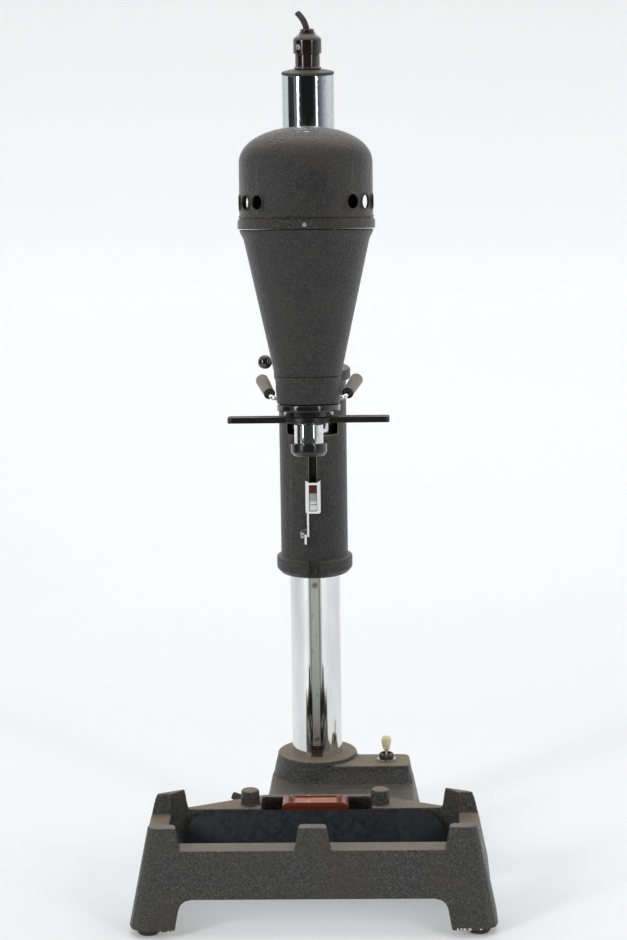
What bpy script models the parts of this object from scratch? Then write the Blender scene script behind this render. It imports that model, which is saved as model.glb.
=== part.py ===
"""Miniature-film darkroom enlarger: cast base, chrome column, sliding head with lamphouse and lens.

Metres, +Z up. The origin is at the middle of the base, on the table. The front of the enlarger faces -Y.
"""

import math

import bmesh
import bpy
from mathutils import Matrix, Vector

# Driving dimensions, in metres.
GAP = 0.0003                 # clearance between touching pieces
COLUMN_Y = 0.083             # column axis, behind the middle of the base
AXIS_Y = COLUMN_Y - 0.125    # optical axis at the film stage, in front of the column
LEAN = 7.0                   # degrees that the optical axis leans back from upright
LEAN_CENTRE = (0.0, AXIS_Y, 0.375)

RIM_Z = 0.064                # top of the base's rim
LUG_Z = 0.0805               # top of the locating lugs on the rim
FOOT_Z = 0.005               # underside of the casting
DRAFT = 0.20                 # sideways spread of the cast walls per unit of height
RIM_HALF_WIDTH = 0.1255
RIM_FRONT = -0.118
RIM_SIDE_REAR = -0.0313
RIM_REAR = 0.0115
WELL_FRONT = -0.0995
WELL_REAR = -0.023
WELL_HALF_WIDTH = 0.110
ARCH_Z = 0.028               # underside of the rails between the legs
LEG_DEPTH_END = -0.086
WALL = 0.006

LEDGE_Z = 0.0585             # top of the ledge in front of the switch housing
HOUSING_Z = 0.073            # top of the switch housing
FLANGE_Z = 0.0767            # top of the column flange
FLANGE_R = 0.0318

COLUMN_R = 0.020
COLUMN_BORE_R = 0.0172
COLUMN_BOTTOM = 0.012
COLUMN_TOP = 0.6185
STRIP_HALF_WIDTH = 0.0031
STRIP_BOTTOM = 0.0865
STRIP_TOP = 0.560
STRIP_SCREWS_Z = (0.0927, 0.2192)

SLEEVE_R = 0.0265
SLEEVE_BORE_R = 0.0218
SLEEVE_BOTTOM = 0.2265
SLEEVE_TOP = 0.3905
RIM_RING_R = 0.0300

STAGE_BOTTOM = 0.3716
STAGE_TOP = 0.3760
STAGE_HALF_LENGTH = 0.0600
STAGE_HALF_DEPTH = 0.0095
STAGE_DISC_R = 0.0183
RING_BOTTOM = 0.3804
RING_TOP = 0.3851
COLLAR_BOTTOM = 0.3858
CONE_BOTTOM = 0.4062
CONE_TOP = 0.5142
DOME_RIM_BOTTOM = 0.5147
DOME_TOP = 0.5896
DOME_R = 0.0493
DOME_RIM_R = 0.0508
SHELL = 0.0014
VENT_R = 0.0054
VENT_Z = 0.5341

YOKE_Z = 0.3896              # axle of the lift yoke
YOKE_ROD_R = 0.00165
BARREL_R = 0.0107
LENS_RING_R = 0.01335
PIN_X = 0.0172               # guide pins, beside and behind the optical axis
PIN_Y = 0.0078

SWITCH_X = 0.0555
SWITCH_Y = 0.0697
TOGGLE_Z = 0.0690            # pivot of the toggle lever
TOGGLE_LEAN = 10.0           # degrees, away from the front
GLAND_Y = 0.070
GLAND_Z = 0.0332

CORD_R = 0.0025
CORD_ROUTE = [               # from the column axis, up out of the connector
    (0.0, 0.0, 0.6375),
    (0.0, 0.0, 0.6430),
    (0.0, 0.0, 0.6480),
    (-0.0009, 0.0007, 0.6546),
    (-0.0035, 0.0026, 0.6604),
    (-0.0074, 0.0056, 0.6649),
]

parts = None                 # collections that the object and its cutting shapes go in
cutters = None


def clear_scene():
    for obj in list(bpy.data.objects):
        bpy.data.objects.remove(obj, do_unlink=True)


def make_collections():
    global parts, cutters
    parts = bpy.data.collections.new("photo_enlarger")
    cutters = bpy.data.collections.new("cutters")
    bpy.context.scene.collection.children.link(parts)
    bpy.context.scene.collection.children.link(cutters)


def make_material(name, colour, metallic, roughness):
    material = bpy.data.materials.new(name)
    material.use_nodes = True
    shader = material.node_tree.nodes["Principled BSDF"]
    shader.inputs["Base Color"].default_value = (*colour, 1.0)
    shader.inputs["Metallic"].default_value = metallic
    shader.inputs["Roughness"].default_value = roughness
    return material


FINISHES = {
    "hammertone": ((0.055, 0.055, 0.052), 0.2, 0.5),
    "chrome": ((0.75, 0.75, 0.75), 1.0, 0.12),
    "steel": ((0.45, 0.45, 0.43), 1.0, 0.35),
    "gloss_black": ((0.01, 0.01, 0.012), 0.0, 0.15),
    "satin_black": ((0.02, 0.02, 0.02), 0.1, 0.4),
    "panel": ((0.012, 0.014, 0.018), 0.1, 0.45),
    "red_plastic": ((0.25, 0.03, 0.015), 0.0, 0.35),
    "ivory_plastic": ((0.85, 0.78, 0.5), 0.0, 0.3),
    "grey_handle": ((0.28, 0.25, 0.21), 0.0, 0.5),
    "rubber": ((0.03, 0.028, 0.026), 0.0, 0.8),
    "glass": ((0.9, 0.95, 0.95), 0.0, 0.05),
    "opal_glass": ((0.9, 0.9, 0.88), 0.0, 0.3),
    "brass": ((0.6, 0.45, 0.2), 1.0, 0.3),
}


def add_object(name, mesh, finish, cutter=False):
    obj = bpy.data.objects.new(name, mesh)
    if cutter:
        cutters.objects.link(obj)
        obj.hide_render = True
        obj.display_type = "WIRE"
    else:
        parts.objects.link(obj)
        mesh.materials.append(bpy.data.materials[finish])
    return obj


def mesh_from(bm, name):
    bmesh.ops.recalc_face_normals(bm, faces=bm.faces)
    mesh = bpy.data.meshes.new(name)
    bm.to_mesh(mesh)
    bm.free()
    return mesh


def box(name, low, high, finish="steel", cutter=False):
    """A plain block from its lowest to its highest corner."""
    bm = bmesh.new()
    bmesh.ops.create_cube(bm, size=1.0)
    size = [h - l for l, h in zip(low, high)]
    centre = [(h + l) / 2 for l, h in zip(low, high)]
    bmesh.ops.scale(bm, vec=size, verts=bm.verts)
    bmesh.ops.translate(bm, vec=centre, verts=bm.verts)
    return add_object(name, mesh_from(bm, name), finish, cutter)


def cylinder(name, radius, start, end, finish="steel", cutter=False, segments=16, end_radius=None):
    """A cylinder, or a cone frustum, between two points."""
    start, end = Vector(start), Vector(end)
    direction = end - start
    bm = bmesh.new()
    bmesh.ops.create_cone(
        bm,
        cap_ends=True,
        segments=segments,
        radius1=radius,
        radius2=radius if end_radius is None else end_radius,
        depth=direction.length,
    )
    turn = direction.to_track_quat("Z", "Y").to_matrix().to_4x4()
    bmesh.ops.transform(bm, matrix=Matrix.Translation((start + end) / 2) @ turn, verts=bm.verts)
    obj = add_object(name, mesh_from(bm, name), finish, cutter)
    obj.data.shade_smooth()
    return obj


def turned(name, profile, finish="steel", centre=(0.0, 0.0), segments=36, cutter=False, closed=False):
    """A turned piece: (radius, height) points down the outer side, about a vertical axis."""
    bm = bmesh.new()
    verts = [bm.verts.new((radius, 0.0, height)) for radius, height in profile]
    pairs = list(zip(verts, verts[1:]))
    if closed:
        pairs.append((verts[-1], verts[0]))
    for first, second in pairs:
        bm.edges.new((first, second))
    mesh = bpy.data.meshes.new(name)
    bm.to_mesh(mesh)
    bm.free()
    obj = add_object(name, mesh, finish, cutter)
    obj.location = (centre[0], centre[1], 0.0)
    screw = obj.modifiers.new("turn", "SCREW")
    screw.axis = "Z"
    screw.angle = math.tau
    screw.steps = segments
    screw.render_steps = segments
    screw.use_merge_vertices = True
    screw.merge_threshold = 0.00001
    screw.use_smooth_shade = True
    return obj


def tube(name, outer, inner, bottom, top, finish, centre=(0.0, 0.0), segments=36, cutter=False):
    """A plain round tube."""
    profile = [(outer, top), (outer, bottom), (inner, bottom), (inner, top)]
    return turned(name, profile, finish, centre, segments, cutter, closed=True)


def rounded(points, radius, steps=3):
    """A closed outline with each corner rounded; radius may be one number or one for each corner."""
    radii = radius if isinstance(radius, (list, tuple)) else [radius] * len(points)
    outline = []
    count = len(points)
    for index in range(count):
        corner = Vector(points[index])
        if radii[index] == 0:
            outline.append(tuple(corner))
            continue
        before = (Vector(points[index - 1]) - corner).normalized()
        after = (Vector(points[(index + 1) % count]) - corner).normalized()
        half = before.angle(after) / 2
        reach = radii[index] / math.tan(half)
        centre = corner + (before + after).normalized() * (radii[index] / math.sin(half))
        first = corner + before * reach - centre
        last = corner + after * reach - centre
        sweep = first.angle_signed(last)
        for step in range(steps + 1):
            arm = first.copy()
            arm.rotate(Matrix.Rotation(-sweep * step / steps, 2))
            outline.append(tuple(centre + arm))
    return outline


def offset(points, distance):
    """The outline's corners moved outward by a distance; the corners run anticlockwise."""
    moved = []
    count = len(points)
    for index in range(count):
        corner = Vector(points[index])
        before = (corner - Vector(points[index - 1])).normalized()
        after = (Vector(points[(index + 1) % count]) - corner).normalized()
        normal_before = Vector((before.y, -before.x))
        normal_after = Vector((after.y, -after.x))
        middle = (normal_before + normal_after).normalized()
        moved.append(tuple(corner + middle * (distance / middle.dot(normal_before))))
    return moved


def drafted(name, corners, top, bottom, finish="hammertone", draft=DRAFT, radius=0.006, cutter=False):
    """A cast block; corners is its anticlockwise outline at the top, and draft spreads its walls going down."""
    spread = draft * (top - bottom)
    upper = rounded(corners, radius)
    lower = rounded(offset(corners, spread), radius + max(spread, 0.0) * 0.5)
    bm = bmesh.new()
    high = [bm.verts.new((x, y, top)) for x, y in upper]
    low = [bm.verts.new((x, y, bottom)) for x, y in lower]
    bm.faces.new(high)
    bm.faces.new(low[::-1])
    count = len(high)
    for index in range(count):
        after = (index + 1) % count
        bm.faces.new((low[index], low[after], high[after], high[index]))
    return add_object(name, mesh_from(bm, name), finish, cutter)


def plate(name, outline, thickness, finish="steel", cutter=False, matrix=None):
    """A flat outline in XY given a thickness, centred on its plane, then placed by a matrix."""
    curve = bpy.data.curves.new(name, "CURVE")
    curve.dimensions = "2D"
    curve.fill_mode = "BOTH"
    curve.extrude = thickness / 2
    spline = curve.splines.new("POLY")
    spline.points.add(len(outline) - 1)
    for point, (x, y) in zip(spline.points, outline):
        point.co = (x, y, 0.0, 1.0)
    spline.use_cyclic_u = True
    return curve_to_mesh(name, curve, finish, cutter, matrix)


def rod(name, points, radius, finish="steel", resolution=3):
    """A round bar along a chain of points."""
    curve = bpy.data.curves.new(name, "CURVE")
    curve.dimensions = "3D"
    curve.bevel_depth = radius
    curve.bevel_resolution = resolution
    curve.use_fill_caps = True
    spline = curve.splines.new("POLY")
    spline.points.add(len(points) - 1)
    for point, place in zip(spline.points, points):
        point.co = (*place, 1.0)
    return curve_to_mesh(name, curve, finish, False, None)


def curve_to_mesh(name, curve, finish, cutter, matrix):
    holder = bpy.data.objects.new(name + "_curve", curve)
    bpy.context.scene.collection.objects.link(holder)
    graph = bpy.context.evaluated_depsgraph_get()
    mesh = bpy.data.meshes.new_from_object(holder.evaluated_get(graph))
    mesh.materials.clear()
    bm = bmesh.new()
    bm.from_mesh(mesh)
    bmesh.ops.remove_doubles(bm, verts=bm.verts, dist=0.000005)
    if matrix is not None:
        bmesh.ops.transform(bm, matrix=matrix, verts=bm.verts)
    bpy.data.objects.remove(holder, do_unlink=True)
    bpy.data.meshes.remove(mesh)
    obj = add_object(name, mesh_from(bm, name), finish, cutter)
    obj.data.shade_smooth()
    obj.data.set_sharp_from_angle(angle=math.radians(40))
    return obj


def combine(obj, other, operation):
    modifier = obj.modifiers.new(other.name, "BOOLEAN")
    modifier.operation = operation
    modifier.solver = "EXACT"
    modifier.object = other


def cut(obj, *others):
    for other in others:
        combine(obj, other, "DIFFERENCE")
    return obj


def join(obj, *others):
    """Union with helper solids, which move to the cutters' collection."""
    for other in others:
        combine(obj, other, "UNION")
        if other.name in parts.objects:
            parts.objects.unlink(other)
            cutters.objects.link(other)
        other.hide_render = True
        other.display_type = "WIRE"
    return obj


def smooth_path(points, count):
    """Points read from a Catmull-Rom curve through the given ones."""
    path = [Vector(p) for p in points]
    ends = [path[0] * 2 - path[1]] + path + [path[-1] * 2 - path[-2]]
    spans = len(path) - 1
    smooth = []
    for step in range(count):
        place = step / (count - 1) * spans
        index = min(int(place), spans - 1)
        t = place - index
        a, b, c, d = ends[index:index + 4]
        square = (2 * a - 5 * b + 4 * c - d) * t ** 2
        cube = (3 * b - a - 3 * c + d) * t ** 3
        smooth.append(tuple((2 * b + (c - a) * t + square + cube) / 2))
    return smooth


def mirrored(points):
    """A half outline on the right side, completed on the left, anticlockwise."""
    return points + [(-x, y) for x, y in reversed(points)]


def lean_matrix():
    """Leans the optical axis back, about a line across the film stage."""
    centre = Vector(LEAN_CENTRE)
    turn = Matrix.Rotation(math.radians(-LEAN), 4, "X")
    return Matrix.Translation(centre) @ turn @ Matrix.Translation(-centre)


def leaned(points):
    """Side-view points (y, z), leaned with the optical axis."""
    places = [lean_matrix() @ Vector((0.0, y, z)) for y, z in points]
    return [(place.y, place.z) for place in places]


def lean_since(earlier):
    """Leans every object made since a list of earlier ones was taken."""
    bpy.context.view_layer.update()
    for obj in bpy.data.objects:
        if obj not in earlier:
            obj.matrix_world = lean_matrix() @ obj.matrix_world


# Base casting -----------------------------------------------------------------------------------

def lug(name, low_corner, high_corner, taper):
    """A keep-out block that leaves a tapering lug on the rim."""
    corners = [
        (low_corner[0], low_corner[1]),
        (high_corner[0], low_corner[1]),
        (high_corner[0], high_corner[1]),
        (low_corner[0], high_corner[1]),
    ]
    return drafted(name, corners, LUG_Z + 0.010, RIM_Z - 0.001, draft=taper, radius=0.003, cutter=True)


def base_casting():
    rim = mirrored([(RIM_HALF_WIDTH, RIM_FRONT), (RIM_HALF_WIDTH, RIM_SIDE_REAR), (0.040, RIM_REAR)])
    at_lug_height = offset(rim, -DRAFT * (LUG_Z - RIM_Z))
    casting = drafted("base_casting", at_lug_height, LUG_Z, FOOT_Z, radius=0.007)

    # The lugs: three along the front rail and one at each rear corner.
    slab = box("rim_clearance", (-0.2, -0.2, RIM_Z), (0.2, 0.1, LUG_Z + 0.005), cutter=True)
    keep = [lug("lug_front_middle", (-0.0085, -0.140), (0.0085, -0.1065), 0.18)]
    for side in (-1, 1):
        left, right = sorted((side * 0.140, side * 0.1035))
        keep.append(lug(f"lug_front_{side}", (left, -0.140), (right, -0.1065), 0.18))
        left, right = sorted((side * 0.140, side * 0.1015))
        keep.append(lug(f"lug_rear_{side}", (left, -0.0335), (right, 0.020), 0.12))
    cut(slab, *keep)

    # The well, narrower under the top lip than between the walls below it.
    well_top = mirrored([(WELL_HALF_WIDTH, WELL_FRONT), (WELL_HALF_WIDTH, -0.0345), (0.0985, WELL_REAR)])
    well_upper = drafted("well_upper", well_top, LUG_Z + 0.005, 0.050, draft=0.0, radius=0.003, cutter=True)
    well_low = mirrored([
        (RIM_HALF_WIDTH - WALL, RIM_FRONT + WALL),
        (RIM_HALF_WIDTH - WALL, -0.0345),
        (0.0974, WELL_REAR + 0.0002),
    ])
    well_lower = drafted("well_lower", well_low, 0.058, -0.010, radius=0.003, cutter=True)

    # Arches between the legs at the front and along the sides.
    arch_half = [(0.1055, -0.010), (0.0985, ARCH_Z)]
    arch_outline = rounded(mirrored(arch_half), [0.0, 0.009, 0.009, 0.0])
    upright = Matrix.Translation((0.0, -0.118, 0.0)) @ Matrix.Rotation(math.radians(90), 4, "X")
    arch = plate("front_arch", arch_outline, 0.050, cutter=True, matrix=upright)
    side_left = box("side_arch_left", (-0.200, LEG_DEPTH_END, -0.010), (-0.058, 0.060, ARCH_Z), cutter=True)
    side_right = box("side_arch_right", (0.098, LEG_DEPTH_END, -0.010), (0.200, 0.060, ARCH_Z), cutter=True)

    # The notch in the rear rim that holds the red tray.
    notch = box("tray_notch", (-0.0415, -0.0300, 0.0520), (0.0440, 0.0055, 0.090), cutter=True)

    # The rear body: a ledge, the switch housing with its sloping front, and the round column boss.
    ledge_corners = [(-0.0363, -0.015), (0.0768, -0.015), (0.0768, 0.0873), (-0.0363, 0.0873)]
    ledge = drafted("rear_ledge", ledge_corners, LEDGE_Z, FOOT_Z, radius=0.006)
    housing_corners = [(0.002, 0.0528), (0.0737, 0.0528), (0.0737, 0.0838), (0.002, 0.0838)]
    housing = drafted("switch_housing", housing_corners, HOUSING_Z, 0.0500, radius=0.005)
    slope_top, slope_foot = HOUSING_Z - 0.0010, LEDGE_Z - 0.0030
    slope_outline = [(0.0560, slope_top), (0.0535, slope_top), (0.0458, slope_foot), (0.0560, slope_foot)]
    across = Matrix(((0, 0, 1, 0.0380), (1, 0, 0, 0), (0, 1, 0, 0), (0, 0, 0, 1)))
    slope = plate("housing_slope", slope_outline, 0.0700, matrix=across)
    boss = turned("column_boss", [
        (0.0, FLANGE_Z),
        (FLANGE_R - 0.0008, FLANGE_Z),
        (FLANGE_R, FLANGE_Z - 0.0008),
        (FLANGE_R + 0.0002, HOUSING_Z),
        (FLANGE_R + 0.0012, HOUSING_Z - 0.003),
        (0.0468, FOOT_Z + 0.0001),
        (0.0, FOOT_Z + 0.0001),
    ], "hammertone", (0.0, COLUMN_Y), segments=44)

    cut(casting, slab)
    join(casting, ledge, housing, slope, boss)
    cut(casting, well_upper, well_lower, arch, side_left, side_right)

    # Hollows that open downward, with a tower left standing for the column.
    cavity_corners = [(-0.030, 0.0165), (0.0705, 0.0165), (0.0705, 0.0790), (-0.030, 0.0790)]
    cavity = drafted("rear_cavity", cavity_corners, 0.0535, -0.010, radius=0.005, cutter=True)
    switch_corners = [(0.040, 0.0575), (0.0690, 0.0575), (0.0690, 0.0790), (0.040, 0.0790)]
    switch_cavity = drafted("switch_cavity", switch_corners, 0.0690, 0.040, draft=0.0, radius=0.003,
                            cutter=True)
    tower = cylinder("column_tower", 0.0270, (0, COLUMN_Y, -0.020), (0, COLUMN_Y, 0.070),
                     cutter=True, segments=48)
    cut(cavity, tower)
    bore = turned("column_bore", [
        (0.0, 0.090),
        (COLUMN_R + 0.0012, 0.090),
        (COLUMN_R + 0.0012, FLANGE_Z + 0.0003),
        (COLUMN_R + GAP, FLANGE_Z - 0.0006),
        (COLUMN_R + GAP, -0.010),
        (0.0, -0.010),
    ], "steel", (0.0, COLUMN_Y), segments=40, cutter=True)
    switch_hole = cylinder("switch_hole", 0.0040, (SWITCH_X, SWITCH_Y, 0.060), (SWITCH_X, SWITCH_Y, 0.080),
                           cutter=True, segments=16)
    gland_hole = cylinder("gland_hole", 0.0030, (-0.060, GLAND_Y, GLAND_Z), (-0.015, GLAND_Y, GLAND_Z),
                          cutter=True, segments=20)
    cut(casting, bore, cavity, switch_cavity, switch_hole, gland_hole, notch)

    # Two small round posts on the rear rim.
    for x in (-0.0503, 0.0503):
        post = cylinder(f"rear_post_{x}", 0.0077, (x, -0.0130, 0.0600), (x, -0.0130, 0.0764),
                        "hammertone", segments=20, end_radius=0.0070)
        join(casting, post)


def base_fittings():
    for side, word in ((-1, "left"), (1, "right")):
        for place, (x, y) in (("front", (0.1230, -0.1165)), ("rear", (0.0240, 0.1080))):
            turned(f"foot_{place}_{word}", [
                (0.0, FOOT_Z - GAP),
                (0.0078, FOOT_Z - GAP),
                (0.0083, FOOT_Z - 0.0010),
                (0.0083, 0.0012),
                (0.0072, 0.0),
                (0.0, 0.0),
            ], "rubber", (side * x, y), segments=20)
    cover_outline = rounded([(-0.0330, 0.0120), (0.0790, 0.0120), (0.0790, 0.0830), (0.0290, 0.0830),
                             (0.0230, 0.0610), (-0.0230, 0.0610), (-0.0330, 0.0560)],
                            [0.004, 0.004, 0.004, 0.003, 0.003, 0.003, 0.003])
    plate("bottom_cover", cover_outline, 0.0012, "steel",
          matrix=Matrix.Translation((0.0, 0.0, FOOT_Z - GAP - 0.0006)))

    # The dark front plate, leaning back against the rear of the well, on two spacers.
    lean = math.radians(18)
    height = 0.053
    half = 0.1015
    corners = [(-half, 0.0), (half, 0.0), (half, height), (-half, height)]
    outline = rounded(corners, [0.004, 0.004, 0.0245, 0.0245], steps=10)
    top_y, top_z = WELL_REAR - 0.0012, RIM_Z - 0.0006
    foot = Vector((0.0, top_y - math.sin(lean) * height, top_z - math.cos(lean) * height))
    turn = Matrix.Rotation(math.radians(90) - lean, 4, "X")
    plate("front_plate", outline, 0.0012, "panel", matrix=Matrix.Translation(foot) @ turn)
    for side, word in ((-1, "left"), (1, "right")):
        spot = foot + turn @ Vector((side * 0.075, 0.010, 0.0))
        normal = turn @ Vector((0.0, 0.0, 1.0))
        start = spot - normal * (0.0006 + GAP)
        wall_y = WELL_REAR - GAP
        bracket_outline = [
            (start.y - normal.z * 0.004, start.z - 0.004),
            (wall_y, start.z - 0.004),
            (wall_y, start.z + 0.004),
            (start.y + math.tan(lean) * 0.008 - normal.z * 0.004, start.z + 0.004),
        ]
        stand = Matrix(((0, 0, 1, start.x), (1, 0, 0, 0), (0, 1, 0, 0), (0, 0, 0, 1)))
        plate(f"plate_spacer_{word}", bracket_outline, 0.008, "steel", matrix=stand)
        head = spot + normal * (0.0006 + GAP)
        cylinder(f"plate_screw_{word}", 0.0025, head, head + normal * 0.0012, "steel", segments=20)

    # The red tray: a shallow dish with sloping sides, rounded corners and a hollow underside.
    tray_half, tray_front, tray_back, tray_floor = 0.0258, -0.0208, 0.0030, 0.0523
    depth = tray_back - tray_front
    wall_outline = rounded([(-tray_half, 0.0), (tray_half, 0.0), (tray_half, 0.0155), (-tray_half, 0.0155)],
                           [0.001, 0.001, 0.0046, 0.0046])
    middle = Matrix.Translation((0.0, (tray_front + tray_back) / 2, tray_floor))
    stand = middle @ Matrix.Rotation(math.radians(90), 4, "X")
    tray = plate("red_tray", wall_outline, depth, "red_plastic", matrix=stand)
    scoop_outline = [(-0.0155, 0.0122), (0.0155, 0.0122), (0.0235, 0.0175), (-0.0235, 0.0175)]
    scoop = plate("tray_scoop", scoop_outline, depth - 0.0032, cutter=True, matrix=stand)
    low_back = box("tray_back_trim", (-0.0300, tray_back - 0.0060, 0.0659),
                   (0.0300, tray_back + 0.0100, 0.0800), cutter=True)
    underside = box("tray_underside", (-tray_half + 0.0018, tray_front + 0.0018, tray_floor - 0.0050),
                    (tray_half - 0.0018, tray_back - 0.0018, 0.0628), cutter=True)
    cut(tray, scoop, low_back, underside)

    # A rubber cable gland at the left of the rear body.
    cylinder("cable_gland", 0.0046, (-0.0449, GLAND_Y, GLAND_Z), (-0.0690, GLAND_Y + 0.0095, GLAND_Z + 0.0070),
             "rubber", segments=20, end_radius=0.0031)


def electrics():
    switch = (SWITCH_X, SWITCH_Y)
    washer_bottom = HOUSING_Z + GAP
    washer_top = washer_bottom + 0.0008
    tube("switch_washer", 0.0076, 0.0041, washer_bottom, washer_top, "steel", switch, 24)
    nut_bottom = washer_top + GAP
    turned("switch_nut", [
        (0.0040, nut_bottom + 0.0044),
        (0.0052, nut_bottom + 0.0042),
        (0.0058, nut_bottom + 0.0032),
        (0.0058, nut_bottom),
        (0.0038, nut_bottom),
        (0.0038, nut_bottom + 0.0040),
    ], "satin_black", switch, 24, closed=True)
    body = box("switch_body", (SWITCH_X - 0.0105, SWITCH_Y - 0.0080, 0.0480),
               (SWITCH_X + 0.0105, SWITCH_Y + 0.0080, 0.0687), "satin_black")
    neck = tube("switch_neck", 0.0036, 0.0030, 0.0660, nut_bottom + 0.0036, "satin_black", switch, 24)
    well = cylinder("switch_well", 0.0030, (SWITCH_X, SWITCH_Y, 0.0640), (SWITCH_X, SWITCH_Y, 0.0800),
                    cutter=True, segments=16)
    join(body, neck)
    cut(body, well)
    lever = turned("toggle_lever", [
        (0.0, 0.0232),
        (0.0024, 0.0228),
        (0.0037, 0.0215),
        (0.0041, 0.0197),
        (0.0038, 0.0163),
        (0.0025, 0.0118),
        (0.0010, 0.0107),
        (0.0010, 0.0002),
        (0.0, -0.0010),
    ], "ivory_plastic", segments=20)
    lever.location = (SWITCH_X, SWITCH_Y, TOGGLE_Z)
    lever.rotation_euler = (math.radians(-TOGGLE_LEAN), 0.0, 0.0)


# Column -----------------------------------------------------------------------------------------

def column():
    post = tube("column_tube", COLUMN_R, COLUMN_BORE_R, COLUMN_BOTTOM, COLUMN_TOP, "chrome",
                (0.0, COLUMN_Y), 40)
    front = COLUMN_Y - COLUMN_R
    half = STRIP_HALF_WIDTH + 0.0005
    keyway = box("keyway", (-half, front - 0.002, STRIP_BOTTOM - 0.0005),
                 (half, front + 0.0016, STRIP_TOP + 0.0005), cutter=True)
    cut(post, keyway)
    strip = box("guide_strip", (-STRIP_HALF_WIDTH, front + 0.0003, STRIP_BOTTOM),
                (STRIP_HALF_WIDTH, front + 0.0013, STRIP_TOP), "steel")
    for number, height in enumerate(STRIP_SCREWS_Z, 1):
        sink = cylinder(f"screw_sink_{number}", 0.0026, (0, front - 0.001, height), (0, front + 0.0008, height),
                        cutter=True, segments=16)
        cut(strip, sink)
        screw = cylinder(f"strip_screw_{number}", 0.0023, (0, front + 0.0001, height),
                         (0, front + 0.0006, height), segments=16)
        slot = box(f"screw_slot_{number}", (-0.0030, front - 0.0005, height - 0.0003),
                   (0.0030, front + 0.00035, height + 0.0003), cutter=True)
        cut(screw, slot)
    turned("column_cap", [
        (0.0090, COLUMN_TOP + 0.0042),
        (0.0150, COLUMN_TOP + 0.0033),
        (0.0196, COLUMN_TOP + 0.0022),
        (0.0203, COLUMN_TOP + 0.0014),
        (0.0203, COLUMN_TOP + GAP),
        (COLUMN_BORE_R - GAP, COLUMN_TOP + GAP),
        (COLUMN_BORE_R - GAP, COLUMN_TOP - 0.0080),
        (0.0060, COLUMN_TOP - 0.0080),
        (0.0060, COLUMN_TOP + 0.0042),
    ], "hammertone", (0.0, COLUMN_Y), 28, closed=True)


def connector():
    base = COLUMN_TOP + 0.0045
    centre = (0.0, COLUMN_Y)
    turned("connector_body", [
        (0.0094, base + 0.0110),
        (0.0095, base + 0.0016),
        (0.0105, base + 0.0008),
        (0.0106, base),
        (0.0064, base),
        (0.0064, base + 0.0110),
    ], "gloss_black", centre, 20, closed=True)
    shoulder = base + 0.0113
    turned("connector_cap", [
        (0.0050, shoulder + 0.0188),
        (0.0053, shoulder + 0.0174),
        (0.0063, shoulder + 0.0150),
        (0.0094, shoulder + 0.0126),
        (0.0109, shoulder + 0.0110),
        (0.0109, shoulder + 0.0006),
        (0.0103, shoulder),
        (0.0085, shoulder),
        (0.0085, shoulder + 0.0090),
        (0.0034, shoulder + 0.0130),
        (0.0034, shoulder + 0.0188),
    ], "gloss_black", centre, 20, closed=True)
    angle = math.radians(-35)
    outward = Vector((math.sin(angle), -math.cos(angle), 0.0))
    spot = Vector((0.0, COLUMN_Y, shoulder + 0.0056)) + outward * 0.0113
    cylinder("connector_screw", 0.0022, spot, spot + outward * 0.0007, "steel", segments=16)
    route = [(x, y + COLUMN_Y, z) for x, y, z in CORD_ROUTE]
    rod("cord_stub", smooth_path(route, 13), CORD_R, "rubber", resolution=2)


# Sliding carriage -------------------------------------------------------------------------------

def carriage():
    centre = (0.0, COLUMN_Y)
    low, high = SLEEVE_BOTTOM, SLEEVE_TOP
    sleeve = turned("carriage_sleeve", [
        (SLEEVE_BORE_R, high),
        (RIM_RING_R - 0.0018, high),
        (RIM_RING_R - 0.0004, high - 0.0008),
        (RIM_RING_R, high - 0.0022),
        (RIM_RING_R, high - 0.0078),
        (RIM_RING_R - 0.0010, high - 0.0088),
        (SLEEVE_R, high - 0.0095),
        (SLEEVE_R, low + 0.0140),
        (RIM_RING_R - 0.0012, low + 0.0132),
        (RIM_RING_R, low + 0.0115),
        (RIM_RING_R, low + 0.0040),
        (RIM_RING_R - 0.0014, low + 0.0012),
        (RIM_RING_R - 0.0038, low),
        (SLEEVE_BORE_R, low),
    ], "hammertone", centre, 40, closed=True)
    front = COLUMN_Y - SLEEVE_R
    window = box("lens_window", (-0.0199, COLUMN_Y - 0.0320, 0.3405), (0.0199, COLUMN_Y - 0.0080, 0.3560),
                 cutter=True)
    slot = box("scale_slot", (-0.0031, front - 0.010, 0.2815), (0.0031, COLUMN_Y - 0.0100, 0.3420), cutter=True)
    groove = box("front_groove", (-0.0042, front - 0.010, 0.2000), (0.0042, front + 0.0005, 0.2830),
                 cutter=True)
    ear = box("clamp_ear", (-0.0200, COLUMN_Y - 0.0245, high - 0.0020),
              (-0.0145, COLUMN_Y - 0.0170, high + 0.0130), "hammertone")
    join(sleeve, ear)
    cut(sleeve, window, slot, groove)
    box("slot_strip", (-0.0038, COLUMN_Y - COLUMN_R - 0.0010, 0.2825),
        (0.0038, COLUMN_Y - COLUMN_R - GAP, 0.3395), "satin_black")
    for word, start in (("lower", low + 0.0010), ("upper", high - 0.0130)):
        tube(f"{word}_bush", SLEEVE_BORE_R - GAP, COLUMN_R + GAP, start, start + 0.0120, "brass", centre, 24)


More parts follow.
